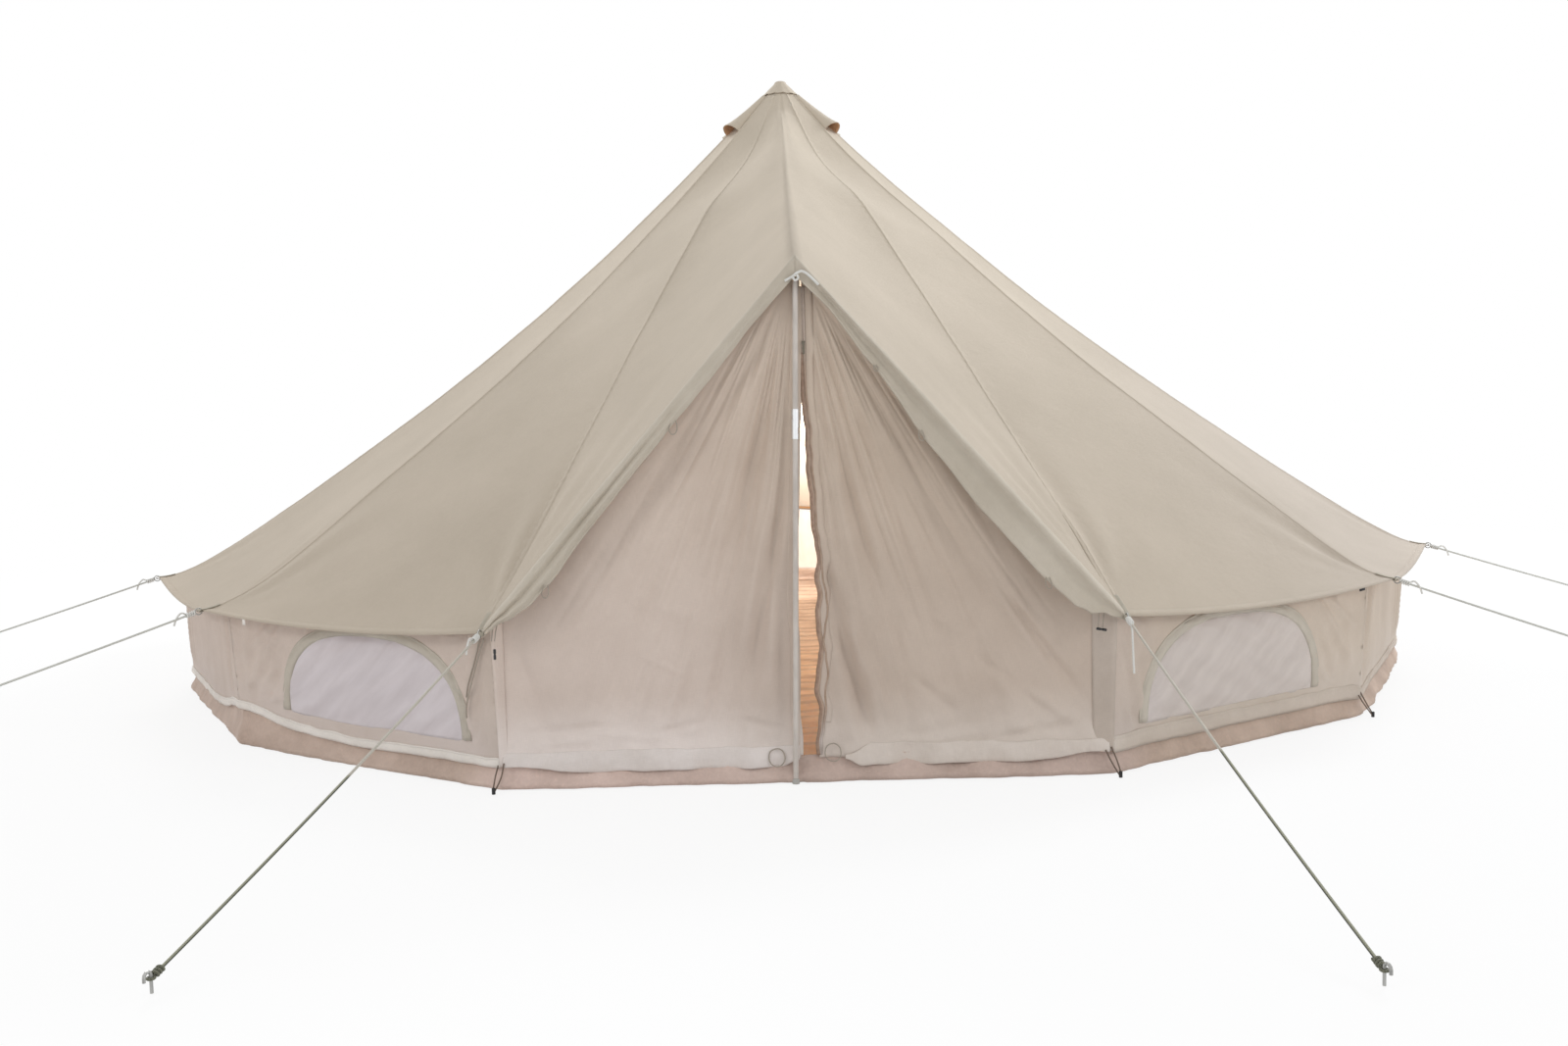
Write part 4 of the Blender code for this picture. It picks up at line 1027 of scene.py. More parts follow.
roof = cloth_grid("roof_cloth", len(roof_columns), ROOF_ROWS, roof_sheet_point, ROOF_CANVAS,
                  CANVAS_THICKNESS, around_it=True)
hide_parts("roof_right_front", "roof_right", "roof_right_rear", "roof_left_rear", "roof_left",
            "roof_left_front", "roof_door_right", "roof_door_left")
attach(roof, "tent")


def beside_seam(index, s, across, lift):
    """A point across metres to one side of a seam, lifted off the roof."""
    if across > 0:
        part = "left" if index == PANELS else index
    else:
        part = "right" if index == 0 else index - 1
    width = (roof_base(part, 1.0, s) - roof_base(part, 0.0, s)).length
    share = min(abs(across) / width, 0.45)
    return roof_point(part, share if across > 0 else 1 - share, s, lift)


SEAM_PROFILE = (    # across the seam in metres, height over the roof, share of the puckering
    (-0.034, -0.0012, 0.0), (-0.024, 0.0006, 0.5), (-0.015, 0.0012, 1.0), (-0.0100, 0.0014, 1.0),
    (-0.0088, 0.0031, 0.7), (0.0, 0.0034, 0.4), (0.0088, 0.0031, 0.7), (0.0100, 0.0014, 1.0),
    (0.015, 0.0012, 1.0), (0.024, 0.0006, 0.5), (0.034, -0.0012, 0.0),
)
SEAM_ROWS = 230


def roof_seam(index):
    def place(column, row):
        s = 0.022 + 0.976 * row / SEAM_ROWS
        across, lift, share = SEAM_PROFILE[column]
        narrow = min(1.0, 0.25 + s * 5.0)
        run = s * SEAM_LENGTH
        strength = 0.0024 if index in (0, PANELS) else 0.0010
        strength *= 0.6 + 0.8 * abs(ripple(run * 1.3, index * 2.2))
        pucker = strength * share * math.sin(run * 118.0 + across * 60 + 4.0 * ripple(run * 5.0, index))
        return beside_seam(index, s, across * narrow, lift + pucker), (across + 0.09 * index, run)

    seam = cloth_grid(f"roof_seam_{index:02d}", len(SEAM_PROFILE) - 1, SEAM_ROWS, place, ROOF_CANVAS,
                      0.0008)
    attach(seam, "tent")


for index in range(PANELS + 1):
    roof_seam(index)


EAVE_STEPS = 72


def eave_stations():
    stations, run = [], 0.0
    last = None
    for gore in range(PANELS):
        for n in range(EAVE_STEPS + (1 if gore == PANELS - 1 else 0)):
            w = n / EAVE_STEPS
            point = roof_point(gore, w, 1.0)
            above = roof_point(gore, w, 0.992)
            up_slope = (above - point).normalized()
            along = (roof_base(gore, w + 0.01, 1.0) - roof_base(gore, w - 0.01, 1.0)).normalized()
            out = along.cross(up_slope)
            if out.z < 0:
                out.negate()
            if last is not None:
                run += (point - last).length
            last = point
            stations.append((point, out, up_slope, run))
    return stations


def eave_section(run):
    wave = 0.0006 * ripple(run * 24.0, 3.0)
    return ((-0.0028, -0.0018), (-0.0034, 0.0006), (-0.0024, 0.0030), (0.010, 0.0032 + wave),
            (0.0235, 0.0028 - wave), (0.0250, 0.0016), (0.0262, 0.0020), (0.0275, 0.0006),
            (0.0275, -0.0018))


TAPE_STEPS, TAPE_ROWS = 24, 3


def eave_tape_point(column, row):
    gore = min(column // TAPE_STEPS, PANELS - 1)
    s = 0.962 + 0.030 * row / TAPE_ROWS
    lift = -0.0042 - 0.0008 * (1 + ripple(column * 0.9, row * 0.7))
    return roof_point(gore, column / TAPE_STEPS - gore, s, lift), (column * 0.058, row * 0.04)


BROWN_TAPE = canvas("eave_tape_look", (0.34, 0.165, 0.058), (0.46, 0.245, 0.095), 9.0)
eave_tape = cloth_grid("eave_tape_inside", TAPE_STEPS * PANELS, TAPE_ROWS, eave_tape_point,
                       BROWN_TAPE, 0.0010)
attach(eave_tape, "tent")

eave_hem = strip_along("roof_eave_hem", eave_stations(), eave_section, ROOF_CANVAS)
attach(eave_hem, "tent")


# Hem band of the door opening: doubled canvas that hangs from the roof's edge on both sides.
# The right one hangs fairly flat under a rolled top, and the left one is gathered into long folds.
OPENING_TOP = ridge_point(1.0)
OPENING_CORNER = seam_point(0, 1.0)
OPENING_RUN = (OPENING_CORNER - OPENING_TOP).normalized()
OPENING_INWARD = Vector((OPENING_RUN.z, 0.0, -OPENING_RUN.x)).normalized()
OPENING_OUT = OPENING_RUN.cross(OPENING_INWARD).normalized()
if OPENING_OUT.y > 0:
    OPENING_OUT.negate()
BAND_WIDTHS = {     # how far down the opening, and the width of the band there
    1: ((0.0, 0.040), (0.1, 0.034), (0.23, 0.052), (0.45, 0.094), (0.61, 0.111), (0.80, 0.112),
        (0.90, 0.100), (0.94, 0.080), (0.97, 0.040), (1.0, 0.018)),
    -1: ((0.0, 0.040), (0.12, 0.036), (0.3, 0.044), (0.5, 0.048), (0.7, 0.056), (0.82, 0.070),
         (0.88, 0.066), (0.93, 0.048), (0.97, 0.024), (1.0, 0.016)),
}


def read_off(table, t):
    """A value from a table of (place, value) pairs, with smooth steps between them."""
    for (t0, v0), (t1, v1) in zip(table, table[1:]):
        if t <= t1:
            return v0 + (v1 - v0) * smooth((t - t0) / (t1 - t0))
    return table[-1][1]


def mirrored(point, side):
    return Vector((point.x * side, point.y, point.z))


def opening_point(w, down, out):
    """A point w along the right side of the opening, down into it and out of its plane."""
    top = OPENING_TOP - Vector((0.0, 0.0, down / -OPENING_INWARD.z))
    bottom = OPENING_CORNER + OPENING_INWARD * down
    return top.lerp(bottom, w) + OPENING_OUT * out


def band_bulge(side, w, v):
    """How far the band stands out at w along it and v across it."""
    run = w * 1.6
    open_up = blend_in(w, 0.0, 0.12) * (1 - 0.7 * blend_in(w, 0.93, 1.0))
    if side > 0:
        roll = 0.012 * math.exp(-((v - 0.10) / 0.10) ** 2)
        hollow = -0.007 * math.exp(-((v - 0.42) / 0.2) ** 2)
        lip = 0.007 * math.exp(-((v - 0.93) / 0.10) ** 2)
        ripples = 0.0022 * ripple(run * 9.0, v * 1.5, 3.0) + 0.0012 * ripple(run * 26.0, v * 3.0, 5.0)
        return (roll + hollow + lip + ripples) * open_up
    drift = 0.10 * ripple(run * 2.6, 4.0)
    deep = 0.25 + 0.75 * blend_in(w, 0.3, 0.62)
    folds = 0.008 * math.exp(-((v - 0.14 - drift * 0.6) / 0.15) ** 2)
    folds += 0.014 * math.exp(-((v - 0.66 + drift) / 0.17) ** 2)
    folds -= 0.005 * math.exp(-((v - 0.38 + drift * 0.3) / 0.10) ** 2)
    folds += 0.004 * math.exp(-((v - 0.97) / 0.05) ** 2)
    ripples = 0.0024 * ripple(run * 10.0, v * 2.5, 6.0)
    return (folds * deep + 0.008 * (1 - deep) * math.sin(math.pi * v) + ripples) * open_up


BAND_COLUMNS, BAND_ROWS = 190, 22


def door_band(name, side):
    def place(column, row):
        w = column / BAND_COLUMNS
        part, seam_side = ("right", w) if side > 0 else ("left", 1 - w)
        if row == 0:
            return roof_point(part, seam_side, 0.990, 0.0014), (w * 1.6, 0.0)
        if row == 1:
            return roof_point(part, seam_side, 0.996, 0.0030), (w * 1.6, 0.02)
        v = (row - 1) / (BAND_ROWS - 1)
        width = read_off(BAND_WIDTHS[side], w)
        edge = 0.0025 * ripple(w * 16.0, side * 3.0) * v
        point = opening_point(w, width * v + edge, 0.003 + band_bulge(side, w, v))
        return mirrored(point, side), (w * 1.6, 0.02 + width * v)

    band = cloth_grid(name, BAND_COLUMNS, BAND_ROWS, place, BAND_CANVAS, 0.0024, flip=side < 0)
    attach(band, "tent")


door_band("door_hem_band_right", 1)
door_band("door_hem_band_left", -1)


# Apex cap: a small cone of doubled canvas with a rounded crown, hemmed at its edge. It covers the
# top of the roof, where all the seams meet over the tip of the pole.
CAP_RADIUS, CAP_SECTORS, CAP_RINGS = 0.095, 96, 20
CROWN_RINGS, CROWN_RADIUS, CROWN_HEIGHT, CROWN_RISE = 7, 0.031, 2.9775, 0.0125


def cap_point(sector, ring):
    azimuth = math.tau * sector / CAP_SECTORS
    if ring <= CROWN_RINGS:
        angle = 0.04 + 1.16 * ring / CROWN_RINGS
        radius = 0.030 * math.sin(angle) * 1.03
        height = CROWN_HEIGHT + CROWN_RISE * math.cos(angle)
    else:
        down = (ring - CROWN_RINGS - 1) / (CAP_RINGS - CROWN_RINGS - 1)
        radius = CROWN_RADIUS + (CAP_RADIUS - CROWN_RADIUS) * down
        height = seam_height(seam_share(radius)) + 0.0070
        gather = 0.0016 * math.sin(azimuth * 13.0) * blend_in(radius, 0.03, 0.08)
        height += gather + 0.0012 * ripple(azimuth * 4.0, radius * 40.0)
        if ring >= CAP_RINGS - 1:
            height += 0.0012
    return around(azimuth, radius, height), (azimuth * 0.09, radius)


apex_cap = cloth_grid("apex_cap_cloth", CAP_SECTORS, CAP_RINGS, cap_point, ROOF_CANVAS, 0.0024,
                      around_it=True)
crown = bmesh.new()
crown.from_mesh(apex_cap.data)
crown.verts.ensure_lookup_table()
bmesh.ops.contextual_create(crown, geom=crown.verts[:CAP_SECTORS])
bmesh.ops.recalc_face_normals(crown, faces=crown.faces[:])
crown.to_mesh(apex_cap.data)
crown.free()
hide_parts("apex_cap")
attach(apex_cap, "tent")


# Vent hoods: half cones of canvas sewn on just under the cap, held open by a stiffened mouth.
# Their inside is painted brown, painted shade warmed by daylight through the canvas, and each
# mouth faces down the roof.
# Painted shade: the brown inside of a hood stands for its shade, warmed by daylight through the canvas.
HOOD_INSIDE_SHADE = canvas("hood_inside_painted_shade_look", (0.52, 0.30, 0.17), (0.64, 0.39, 0.24), 7.0)
HOOD_START, HOOD_END, HOOD_MOUTH, HOOD_TIP = 0.100, 0.305, 0.060, 0.018
HOOD_COLUMNS, HOOD_ROWS = 28, 20


def vent_hood(number, gore):
    start_s, end_s = seam_share(HOOD_START), seam_share(HOOD_END)
    start, end = gore_point(gore, 0.5, start_s), gore_point(gore, 0.5, end_s)
    down = (end - start).normalized()
    side = (seam_point(gore + 1, end_s) - seam_point(gore, end_s)).normalized()
    out = side.cross(down)
    if out.z < 0:
        out.negate()

    def place(column, row):
        t = row / HOOD_ROWS
        angle = math.pi * column / HOOD_COLUMNS
        radius = HOOD_TIP + (HOOD_MOUTH - HOOD_TIP) * (0.75 * t + 0.25 * t ** 5)
        crumple = 1 + 0.05 * ripple(angle * 2.2, t * 4.0, number * 3.0) * math.sin(angle)
        height = radius * math.sin(angle) * (0.80 + 0.20 * t) * crumple
        spread = radius * math.cos(angle) * (1.0 + 0.10 * t)
        slant = 0.002 * math.sin(angle) * t ** 3
        base = start.lerp(end, t * 0.97) + down * slant
        stay = 0.0018 if column in (0, HOOD_COLUMNS) else 0.0030
        return base + side * spread + out * (height + stay - 0.002), (angle * radius, t * 0.2)

    hood = cloth_grid(f"vent_hood_cloth_{number}", HOOD_COLUMNS, HOOD_ROWS, place, ROOF_CANVAS, 0.0)
    shape = bmesh.new()
    shape.from_mesh(hood.data)
    if sum(face.normal.dot(out) for face in shape.faces) < 0:
        bmesh.ops.reverse_faces(shape, faces=shape.faces[:])
    shape.to_mesh(hood.data)
    shape.free()
    hood.data.materials.append(HOOD_INSIDE_SHADE)
    wall = thicken(hood, 0.0022, -1.0)
    wall.material_offset = 1
    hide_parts(f"vent_hood_{number}")
    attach(hood, "tent")


for number, gore in enumerate((1, 3, 8, 10), start=1):
    vent_hood(number, gore)


# Doors: two curtains of lighter canvas that hang from the slanted sides of the opening and meet
# at a zip behind the door pole. They are slack, so long folds run down from the top.
# Painted light and shade: the doors are lighter on the left and darker on the right, lighter and cooler at
# the foot, and warmer towards the top.
DOOR_CANVAS = canvas("door_canvas_look", (0.57, 0.47, 0.40), (0.655, 0.55, 0.475), 2.0,
                     fades=(("Z", 0.25, 1.3, (1.03, 1.035, 1.05), (1.05, 1.045, 1.015)),
                            ("X", -0.5, 0.3, (1.10, 1.105, 1.12), (0.91, 0.895, 0.86)),
                            ("Z", 0.10, 0.34, (1.22, 1.30, 1.38), (1.0, 1.0, 1.0))))
# Painted light: the tape is lighter and cooler at its foot. Above the slider it turns paler, towards the
# canvas colour of the closed zip.
ZIP_TAPE = canvas("zip_tape_look", (0.40, 0.285, 0.21), (0.53, 0.395, 0.31), 30.0, 0.0007,
                  fades=(("Z", 0.12, 0.26, (1.30, 1.55, 1.85), (1.0, 1.0, 1.0)),
                         ("Z", 1.36, 1.44, (1.0, 1.0, 1.0), (1.33, 1.52, 1.70))))
DOOR_Y = 0.003 - BASE_RADIUS * math.cos(DOOR_HALF_ANGLE)
DOOR_TOP, DOOR_FOOT = 1.672, 0.083
LEFT_FREE_EDGE = (       # height, and how far right of the middle the left door's edge hangs
    (0.08, -0.019), (0.146, -0.018), (0.24, -0.025), (0.38, -0.021), (0.48, -0.021), (0.604, -0.030),
    (0.70, -0.024), (0.80, -0.019), (0.92, -0.0125), (1.0, -0.009), (1.09, -0.0055), (1.17, -0.0025),
    (1.234, 0.0015), (1.30, 0.0058), (1.36, 0.0110), (1.40, 0.0135),
)
RIGHT_FREE_EDGE = (      # the same for the right door, whose edge hangs slack and waves
    (0.08, 0.0435), (0.130, 0.0405), (0.190, 0.050), (0.247, 0.055), (0.307, 0.040), (0.364, 0.047),
    (0.424, 0.055), (0.452, 0.060), (0.512, 0.051), (0.569, 0.0485), (0.629, 0.058), (0.686, 0.0485),
    (0.745, 0.0595), (0.802, 0.052), (0.862, 0.042), (0.92, 0.0405), (0.96, 0.0400), (1.0, 0.0340),
    (1.045, 0.029), (1.086, 0.0315), (1.127, 0.0285), (1.17, 0.0305), (1.212, 0.025), (1.234, 0.0225),
    (1.297, 0.0185), (1.37, 0.0185), (1.455, 0.020),
)
DOOR_COLUMNS, DOOR_ROWS = 150, 170


HINGE_INSET = 0.027         # how far inside the edge of the opening a door is sewn


def door_outer_x(height):
    """How far from the middle a door's sewn edge is at a height."""
    hinge_top = OPENING_TOP.z - HINGE_INSET / -OPENING_INWARD.z
    bottom = OPENING_CORNER + OPENING_INWARD * HINGE_INSET
    slanted = (hinge_top - height) * bottom.x / (hinge_top - bottom.z)
    return min(slanted, around(DOOR_HALF_ANGLE, BASE_RADIUS).x - 0.0036)


def door_edges(side, v):
    """The height at v down a door, and how far out its zip edge and its sewn edge are there."""
    height = DOOR_TOP + (DOOR_FOOT - DOOR_TOP) * v
    inner = side * read_off(RIGHT_FREE_EDGE if side > 0 else LEFT_FREE_EDGE, height)
    return height, inner, max(door_outer_x(height), inner + 0.006)


LEFT_CREASES = (    # across the door from the pole and up it: start, end, widths, depth
    (0.045, 1.05, 0.215, 0.20, 0.024, 0.040, -0.045),
    (0.025, 0.95, 0.13, 0.30, 0.020, 0.035, 0.022),
    (0.05, 1.38, 0.32, 0.52, 0.018, 0.050, -0.026),
    (0.03, 1.52, 0.20, 0.98, 0.014, 0.035, -0.018),
    (0.04, 1.50, 0.46, 0.85, 0.016, 0.060, 0.014),
    (0.10, 0.72, 0.10, 0.14, 0.025, 0.035, 0.016),
    (0.33, 0.46, 0.46, 0.12, 0.025, 0.045, -0.016),
    (0.96, 0.50, 0.86, 0.14, 0.016, 0.035, -0.016),
    (0.99, 0.19, 0.66, 0.20, 0.010, 0.016, -0.010),
    (0.90, 0.15, 0.70, 0.16, 0.010, 0.014, 0.008),
    (0.74, 0.19, 0.45, 0.15, 0.011, 0.018, 0.009),
    (0.50, 0.18, 0.34, 0.21, 0.011, 0.016, -0.009),
    (0.22, 0.22, 0.05, 0.17, 0.011, 0.016, -0.009),
    (0.56, 0.45, 0.40, 0.37, 0.010, 0.013, 0.006),
    (0.62, 0.66, 0.36, 0.55, 0.020, 0.030, 0.006),
)
RIGHT_CREASES = (
    (0.045, 1.55, 0.15, 0.85, 0.014, 0.035, 0.022),
    (0.050, 1.30, 0.24, 0.66, 0.016, 0.040, -0.022),
    (0.055, 0.82, 0.215, 0.13, 0.020, 0.036, -0.048),
    (0.090, 0.62, 0.29, 0.20, 0.020, 0.035, 0.020),
    (0.09, 1.52, 0.38, 0.98, 0.016, 0.045, 0.014),
    (0.12, 1.30, 0.52, 0.72, 0.020, 0.060, -0.012),
    (0.64, 0.66, 0.97, 0.20, 0.014, 0.022, -0.020),
    (0.70, 0.32, 0.98, 0.13, 0.014, 0.026, 0.014),
    (0.56, 0.42, 0.80, 0.24, 0.014, 0.026, -0.009),
    (0.36, 0.35, 0.52, 0.20, 0.013, 0.026, -0.012),
    (0.62, 0.13, 0.98, 0.18, 0.012, 0.024, -0.014),
    (0.30, 0.12, 0.62, 0.16, 0.012, 0.024, 0.010),
    (0.42, 0.55, 0.60, 0.46, 0.016, 0.024, 0.006),
)


def door_spot(side, u, v):
    """Where a door's cloth hangs: u from the zip edge to the hinge, v from its top to its foot."""
    height, inner, outer = door_edges(side, v)
    x = inner + (outer - inner) * u
    apex = 1.69
    swing = math.atan2(x, apex - height + 0.02) / math.atan2(outer, apex - height + 0.02)
    held = math.sin(math.pi * min(max(u, 0.0) * 3, 0.5)) ** 0.8
    held *= math.sin(math.pi * min(max(0.95 - u, 0.0) * 3.2, 0.5))
    near_pole = 0.35 + 0.65 * blend_in(x, 0.02, 0.10)
    fan = 0.014 * math.sin(swing * 21.0 + 2.2 * ripple(height * 1.6, side * 5.0))
    fan *= max(0.0, 1 - swing) ** 1.2
    fan += 0.010 * ripple(swing * 9.0, height * 1.1, side * 2.0)
    broad = 0.014 * ripple(x * 1.7, height * 1.5, side * 4.0 + 1.0)
    small = 0.0040 * ripple(x * 7.0, height * 5.0, side * 7.0)
    small += 0.0065 * ripple(x * 11.0, height * 22.0, side * 3.0) * (1 - blend_in(height, 0.1, 0.42))
    creases = 1.2 * crease_sum(x, height, RIGHT_CREASES if side > 0 else LEFT_CREASES)
    turn, reach = math.atan2(x, 1.78 - height), math.hypot(x, 1.78 - height)
    crests = 0.0100 * (0.30 - abs(ripple(turn * 15.0, reach * 1.2, side * 9.0)))
    crests += 0.0055 * (0.30 - abs(ripple(turn * 34.0, reach * 2.2, side * 6.0)))
    crests *= 0.35 + 1.4 * max(0.0, 1 - swing)
    crests *= blend_in(v, 0.03, 0.22) * (1 - 0.6 * blend_in(v, 0.86, 1.0))
    depth = (fan * blend_in(v, 0.02, 0.3) + broad + small - creases + 1.6 * crests) * held * near_pole
    foot_sway = 0.004 * ripple(x * 11.0, 3.0, side) * blend_in(v, 0.9, 1.0)
    depth -= 0.006 * blend_in(v, 0.93, 1.0)
    return Vector((side * x, DOOR_Y + depth, height + foot_sway))


def door_curtain(name, side, body, node):
    def place(column, row):
        u, v = column / DOOR_COLUMNS, row / DOOR_ROWS
        point = door_spot(side, u, v)
        return point, (point.x, point.z)

    piece = cloth_grid(name, DOOR_COLUMNS, DOOR_ROWS, place, DOOR_CANVAS, CANVAS_THICKNESS, flip=side > 0)
    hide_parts(node)
    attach(piece, body)


door_curtain("door_curtain_left", -1, "left_door", "door_left")
door_curtain("door_curtain_right", 1, "right_door", "door_right")


FOLD_LINE = (            # height, and how far from its edge the right door's zip tape turns over
    (0.08, 0.006), (0.135, 0.010), (0.19, 0.011), (0.248, 0.014), (0.313, 0.028), (0.365, 0.031),
    (0.424, 0.017), (0.464, 0.006), (0.511, 0.020), (0.575, 0.033), (0.628, 0.020), (0.686, 0.019),
    (0.744, 0.006), (0.90, 0.009), (1.0, 0.013), (1.2, 0.010), (1.455, 0.005),
)


STRIP_ROWS = 200
COIL_HEAD = 0.155           # the coils start this far down the door, under the slider


def edge_strip(name, side, body, lines, material, thickness, folded=False, head=0.02, foot=0.995):
    """A strip along a door's zip edge: lines are (distance from the edge, lift towards the viewer)."""
    def place(column, row):
        v = head + (foot - head) * row / STRIP_ROWS
        across, lift = lines[column]
        lift *= 0.25 + 0.75 * blend_in(foot - v, 0.0, 0.995 - foot + 1e-6)
        height, inner, outer = door_edges(side, v)
        if folded:
            across += read_off(FOLD_LINE, height)
        u = across / (outer - inner)
        spot = door_spot(side, min(u, 0.9), v) - Vector((0.0, lift, 0.0))
        if u < 0:
            spot.x += side * across
        return spot, (across, height)

    strip = cloth_grid(name, len(lines) - 1, STRIP_ROWS, place, material, thickness, flip=side > 0)
    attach(strip, body)


ZIP_COIL = moulded("zip_coil_look", (0.26, 0.165, 0.115), (0.41, 0.275, 0.20), 0.5, 400.0)
edge_strip("zip_tape_left", -1, "left_door",
           ((-0.004, 0.0), (0.004, 0.0014), (0.020, 0.0018), (0.026, 0.0008)), DOOR_CANVAS, 0.0009)
edge_strip("zip_coil_left", -1, "left_door", ((-0.002, -0.0030), (0.000, -0.0042), (0.002, -0.0030)),
           ZIP_COIL, 0.0014, head=COIL_HEAD)
edge_strip("zip_tape_right", 1, "right_door",
           ((-0.003, 0.0), (0.001, 0.0014), (0.006, 0.0018), (0.010, 0.0010)), ZIP_TAPE, 0.0009)
edge_strip("zip_guard_right", 1, "right_door",
           ((0.009, 0.0012), (0.0115, 0.0030), (0.026, 0.0034), (0.036, 0.0012)),
           DOOR_CANVAS, 0.0010, foot=0.928)
edge_strip("zip_fold_right", 1, "right_door", ((-0.0032, 0.0034), (0.0, 0.0052), (0.0032, 0.0034)),
           ZIP_TAPE, 0.0010, folded=True)
edge_strip("zip_coil_right", 1, "right_door",
           ((-0.0045, 0.0), (-0.0012, 0.0016), (0.002, 0.0012), (0.0035, 0.0)),
           ZIP_COIL, 0.0016, head=COIL_HEAD)


# Painted light: the hem is lighter everywhere, more so and cooler on the left door.
DOOR_HEM_CANVAS = canvas("door_hem_look", (0.66, 0.57, 0.505), (0.75, 0.66, 0.60), 6.0,
                         fades=(("X", -0.15, 0.15, (1.12, 1.17, 1.23), (1.03, 1.05, 1.05)),))


def door_hem(name, side, body):
    """The foot hem of a door: doubled, stitched and rucked, it hangs a little way over the rim."""
    steps = 220
    rows = ((-0.024, 0.0004), (-0.022, 0.0020), (-0.012, 0.0026), (0.004, 0.0030), (0.018, 0.0034),
            (0.034, 0.0026), (0.043, 0.0016), (0.046, 0.0004))
    begin = 0.088 if side > 0 else 0.004

    def place(column, row):
        u = begin + (0.997 - begin) * column / steps
        up, lift = rows[row]
        hang = blend_in(u, begin, begin + 0.06) * (1 - blend_in(u, 0.72, 0.95))
        tall = 1 - 0.35 * max(0.0, ripple(u * 5.0, side * 3.0))
        if side > 0:
            tall *= 0.3 + 0.7 * blend_in(u, begin, begin + 0.10)
        up *= hang if up < 0 else tall
        v = 1.0 - (up - 0.004) / (DOOR_TOP - DOOR_FOOT)
        spot = door_spot(side, u, min(v, 1.0))
        ruck = 0.0045 * max(0.0, ripple(u * 30.0 + row * 0.5, row * 0.6, side * 2.0))
        ruck += 0.0030 * max(0.0, ripple(u * 74.0 - row * 0.9, row * 0.8, side * 5.0))
        spot.y -= lift + 0.008 * (1 - max(up, 0.0) / 0.046) + (ruck if 0 < row < 7 else 0.0)
        if v > 1.0:
            spot.z += up - 0.004 + 0.004 * ripple(u * 9.0, side) * hang
        return spot, (u * 1.02, up)

    hem = cloth_grid(name, steps, len(rows) - 1, place, DOOR_HEM_CANVAS, 0.0010, flip=side > 0)
    shape = bmesh.new()
    shape.from_mesh(hem.data)
    bmesh.ops.reverse_faces(shape, faces=shape.faces[:])
    shape.to_mesh(hem.data)
    shape.free()
    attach(hem, body)


door_hem("door_foot_hem_left", -1, "left_door")
door_hem("door_foot_hem_right", 1, "right_door")

# Door posts: an upright doubled strip of canvas on each side of the door, sewn to the end of the
# wall. The right one is broad, and the left one narrow.
JAMB_CANVAS = canvas("jamb_canvas_look", (0.53, 0.45, 0.385), (0.61, 0.525, 0.455), 4.0)


JAMB_ROWS, JAMB_FOOT, JAMB_TOP = 50, 0.080, 0.565


def door_jamb(name, side):
    corner = around(DOOR_HALF_ANGLE, BASE_RADIUS)
    wall_way = (around(DOOR_HALF_ANGLE + PANEL_ANGLE, BASE_RADIUS) - corner).normalized()
    spots = ((-0.060, -0.0048), (-0.050, -0.0026), (-0.030, -0.0010), (-0.008, 0.0004),
             (0.003, 0.0012), (0.008, -0.0010))
    if side < 0:
        spots = ((-0.022, -0.0050), (-0.018, -0.0036), (-0.012, -0.0022), (-0.005, -0.0010),
                 (0.001, -0.0002), (0.004, -0.0016))

    def place(column, row):
        height = JAMB_FOOT + (JAMB_TOP - JAMB_FOOT) * row / JAMB_ROWS
        lean = around(DOOR_HALF_ANGLE, BASE_RADIUS + WALL_LEAN * height).xy - corner.xy
        across, lift = spots[column]
        base = corner + (wall_way * across if across > 0 else Vector((across, 0.0, 0.0)))
        lean *= 1 - blend_in(-across, 0.002, 0.024)
        pucker = 0.0012 * ripple(height * 34.0, across * 50, side)
        pucker += 0.002 * ripple(height * 8.0, across * 20, side)
        outward = Vector((0.35, -0.94, 0.0)) if across > 0 else Vector((0.0, -1.0, 0.0))
        place_at = base + Vector((lean.x, lean.y, height)) + outward * (lift + 0.0035 + 0.4 * pucker)
        return mirrored(place_at, side), (across, height)

    jamb = cloth_grid(name, len(spots) - 1, JAMB_ROWS, place,
                      JAMB_CANVAS if side > 0 else DOOR_CANVAS, 0.0018, flip=side < 0)
    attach(jamb, "tent")


door_jamb("door_jamb_right", 1)
door_jamb("door_jamb_left", -1)


# Door pole: a thin white enamelled pole in two lengths under a bright sleeve, on a moulded foot.
# Its top stands in the end of the ridge, where a white cord is knotted round it.
def enamel():
    """White stoving enamel: slightly uneven gloss, greyed where hands and cords rub it."""
    material, tree, shader = finish("white_pole_look", (0.62, 0.62, 0.59), 0.42)
    lengthwise = pattern_source(tree, "Object", (1.0, 1.0, 0.25))
    rubs = mottling(tree, lengthwise, 26.0, 5.0, 0.6)
    color = between(tree, rubs, 0.28, 0.55, (0.485, 0.44, 0.40), (0.64, 0.585, 0.535))
    tree.links.new(color, shader.inputs["Base Color"])
    tree.links.new(between(tree, rubs, 0.3, 0.6, (0.55,) * 3, (0.38,) * 3), shader.inputs["Roughness"])
    bumped(tree, shader, mottling(tree, pattern_source(tree, "Object"), 260.0), 0.0003, 0.3)
    return material


WHITE_ENAMEL = enamel()
for tube in ("door_pole_lower", "door_pole_upper"):
    dress(tube, WHITE_ENAMEL)
dress("door_pole_sleeve", SLEEVE_STEEL)
dress("door_pole_foot", moulded("pole_cap_look", (0.40, 0.385, 0.36), (0.50, 0.485, 0.455), 0.6))

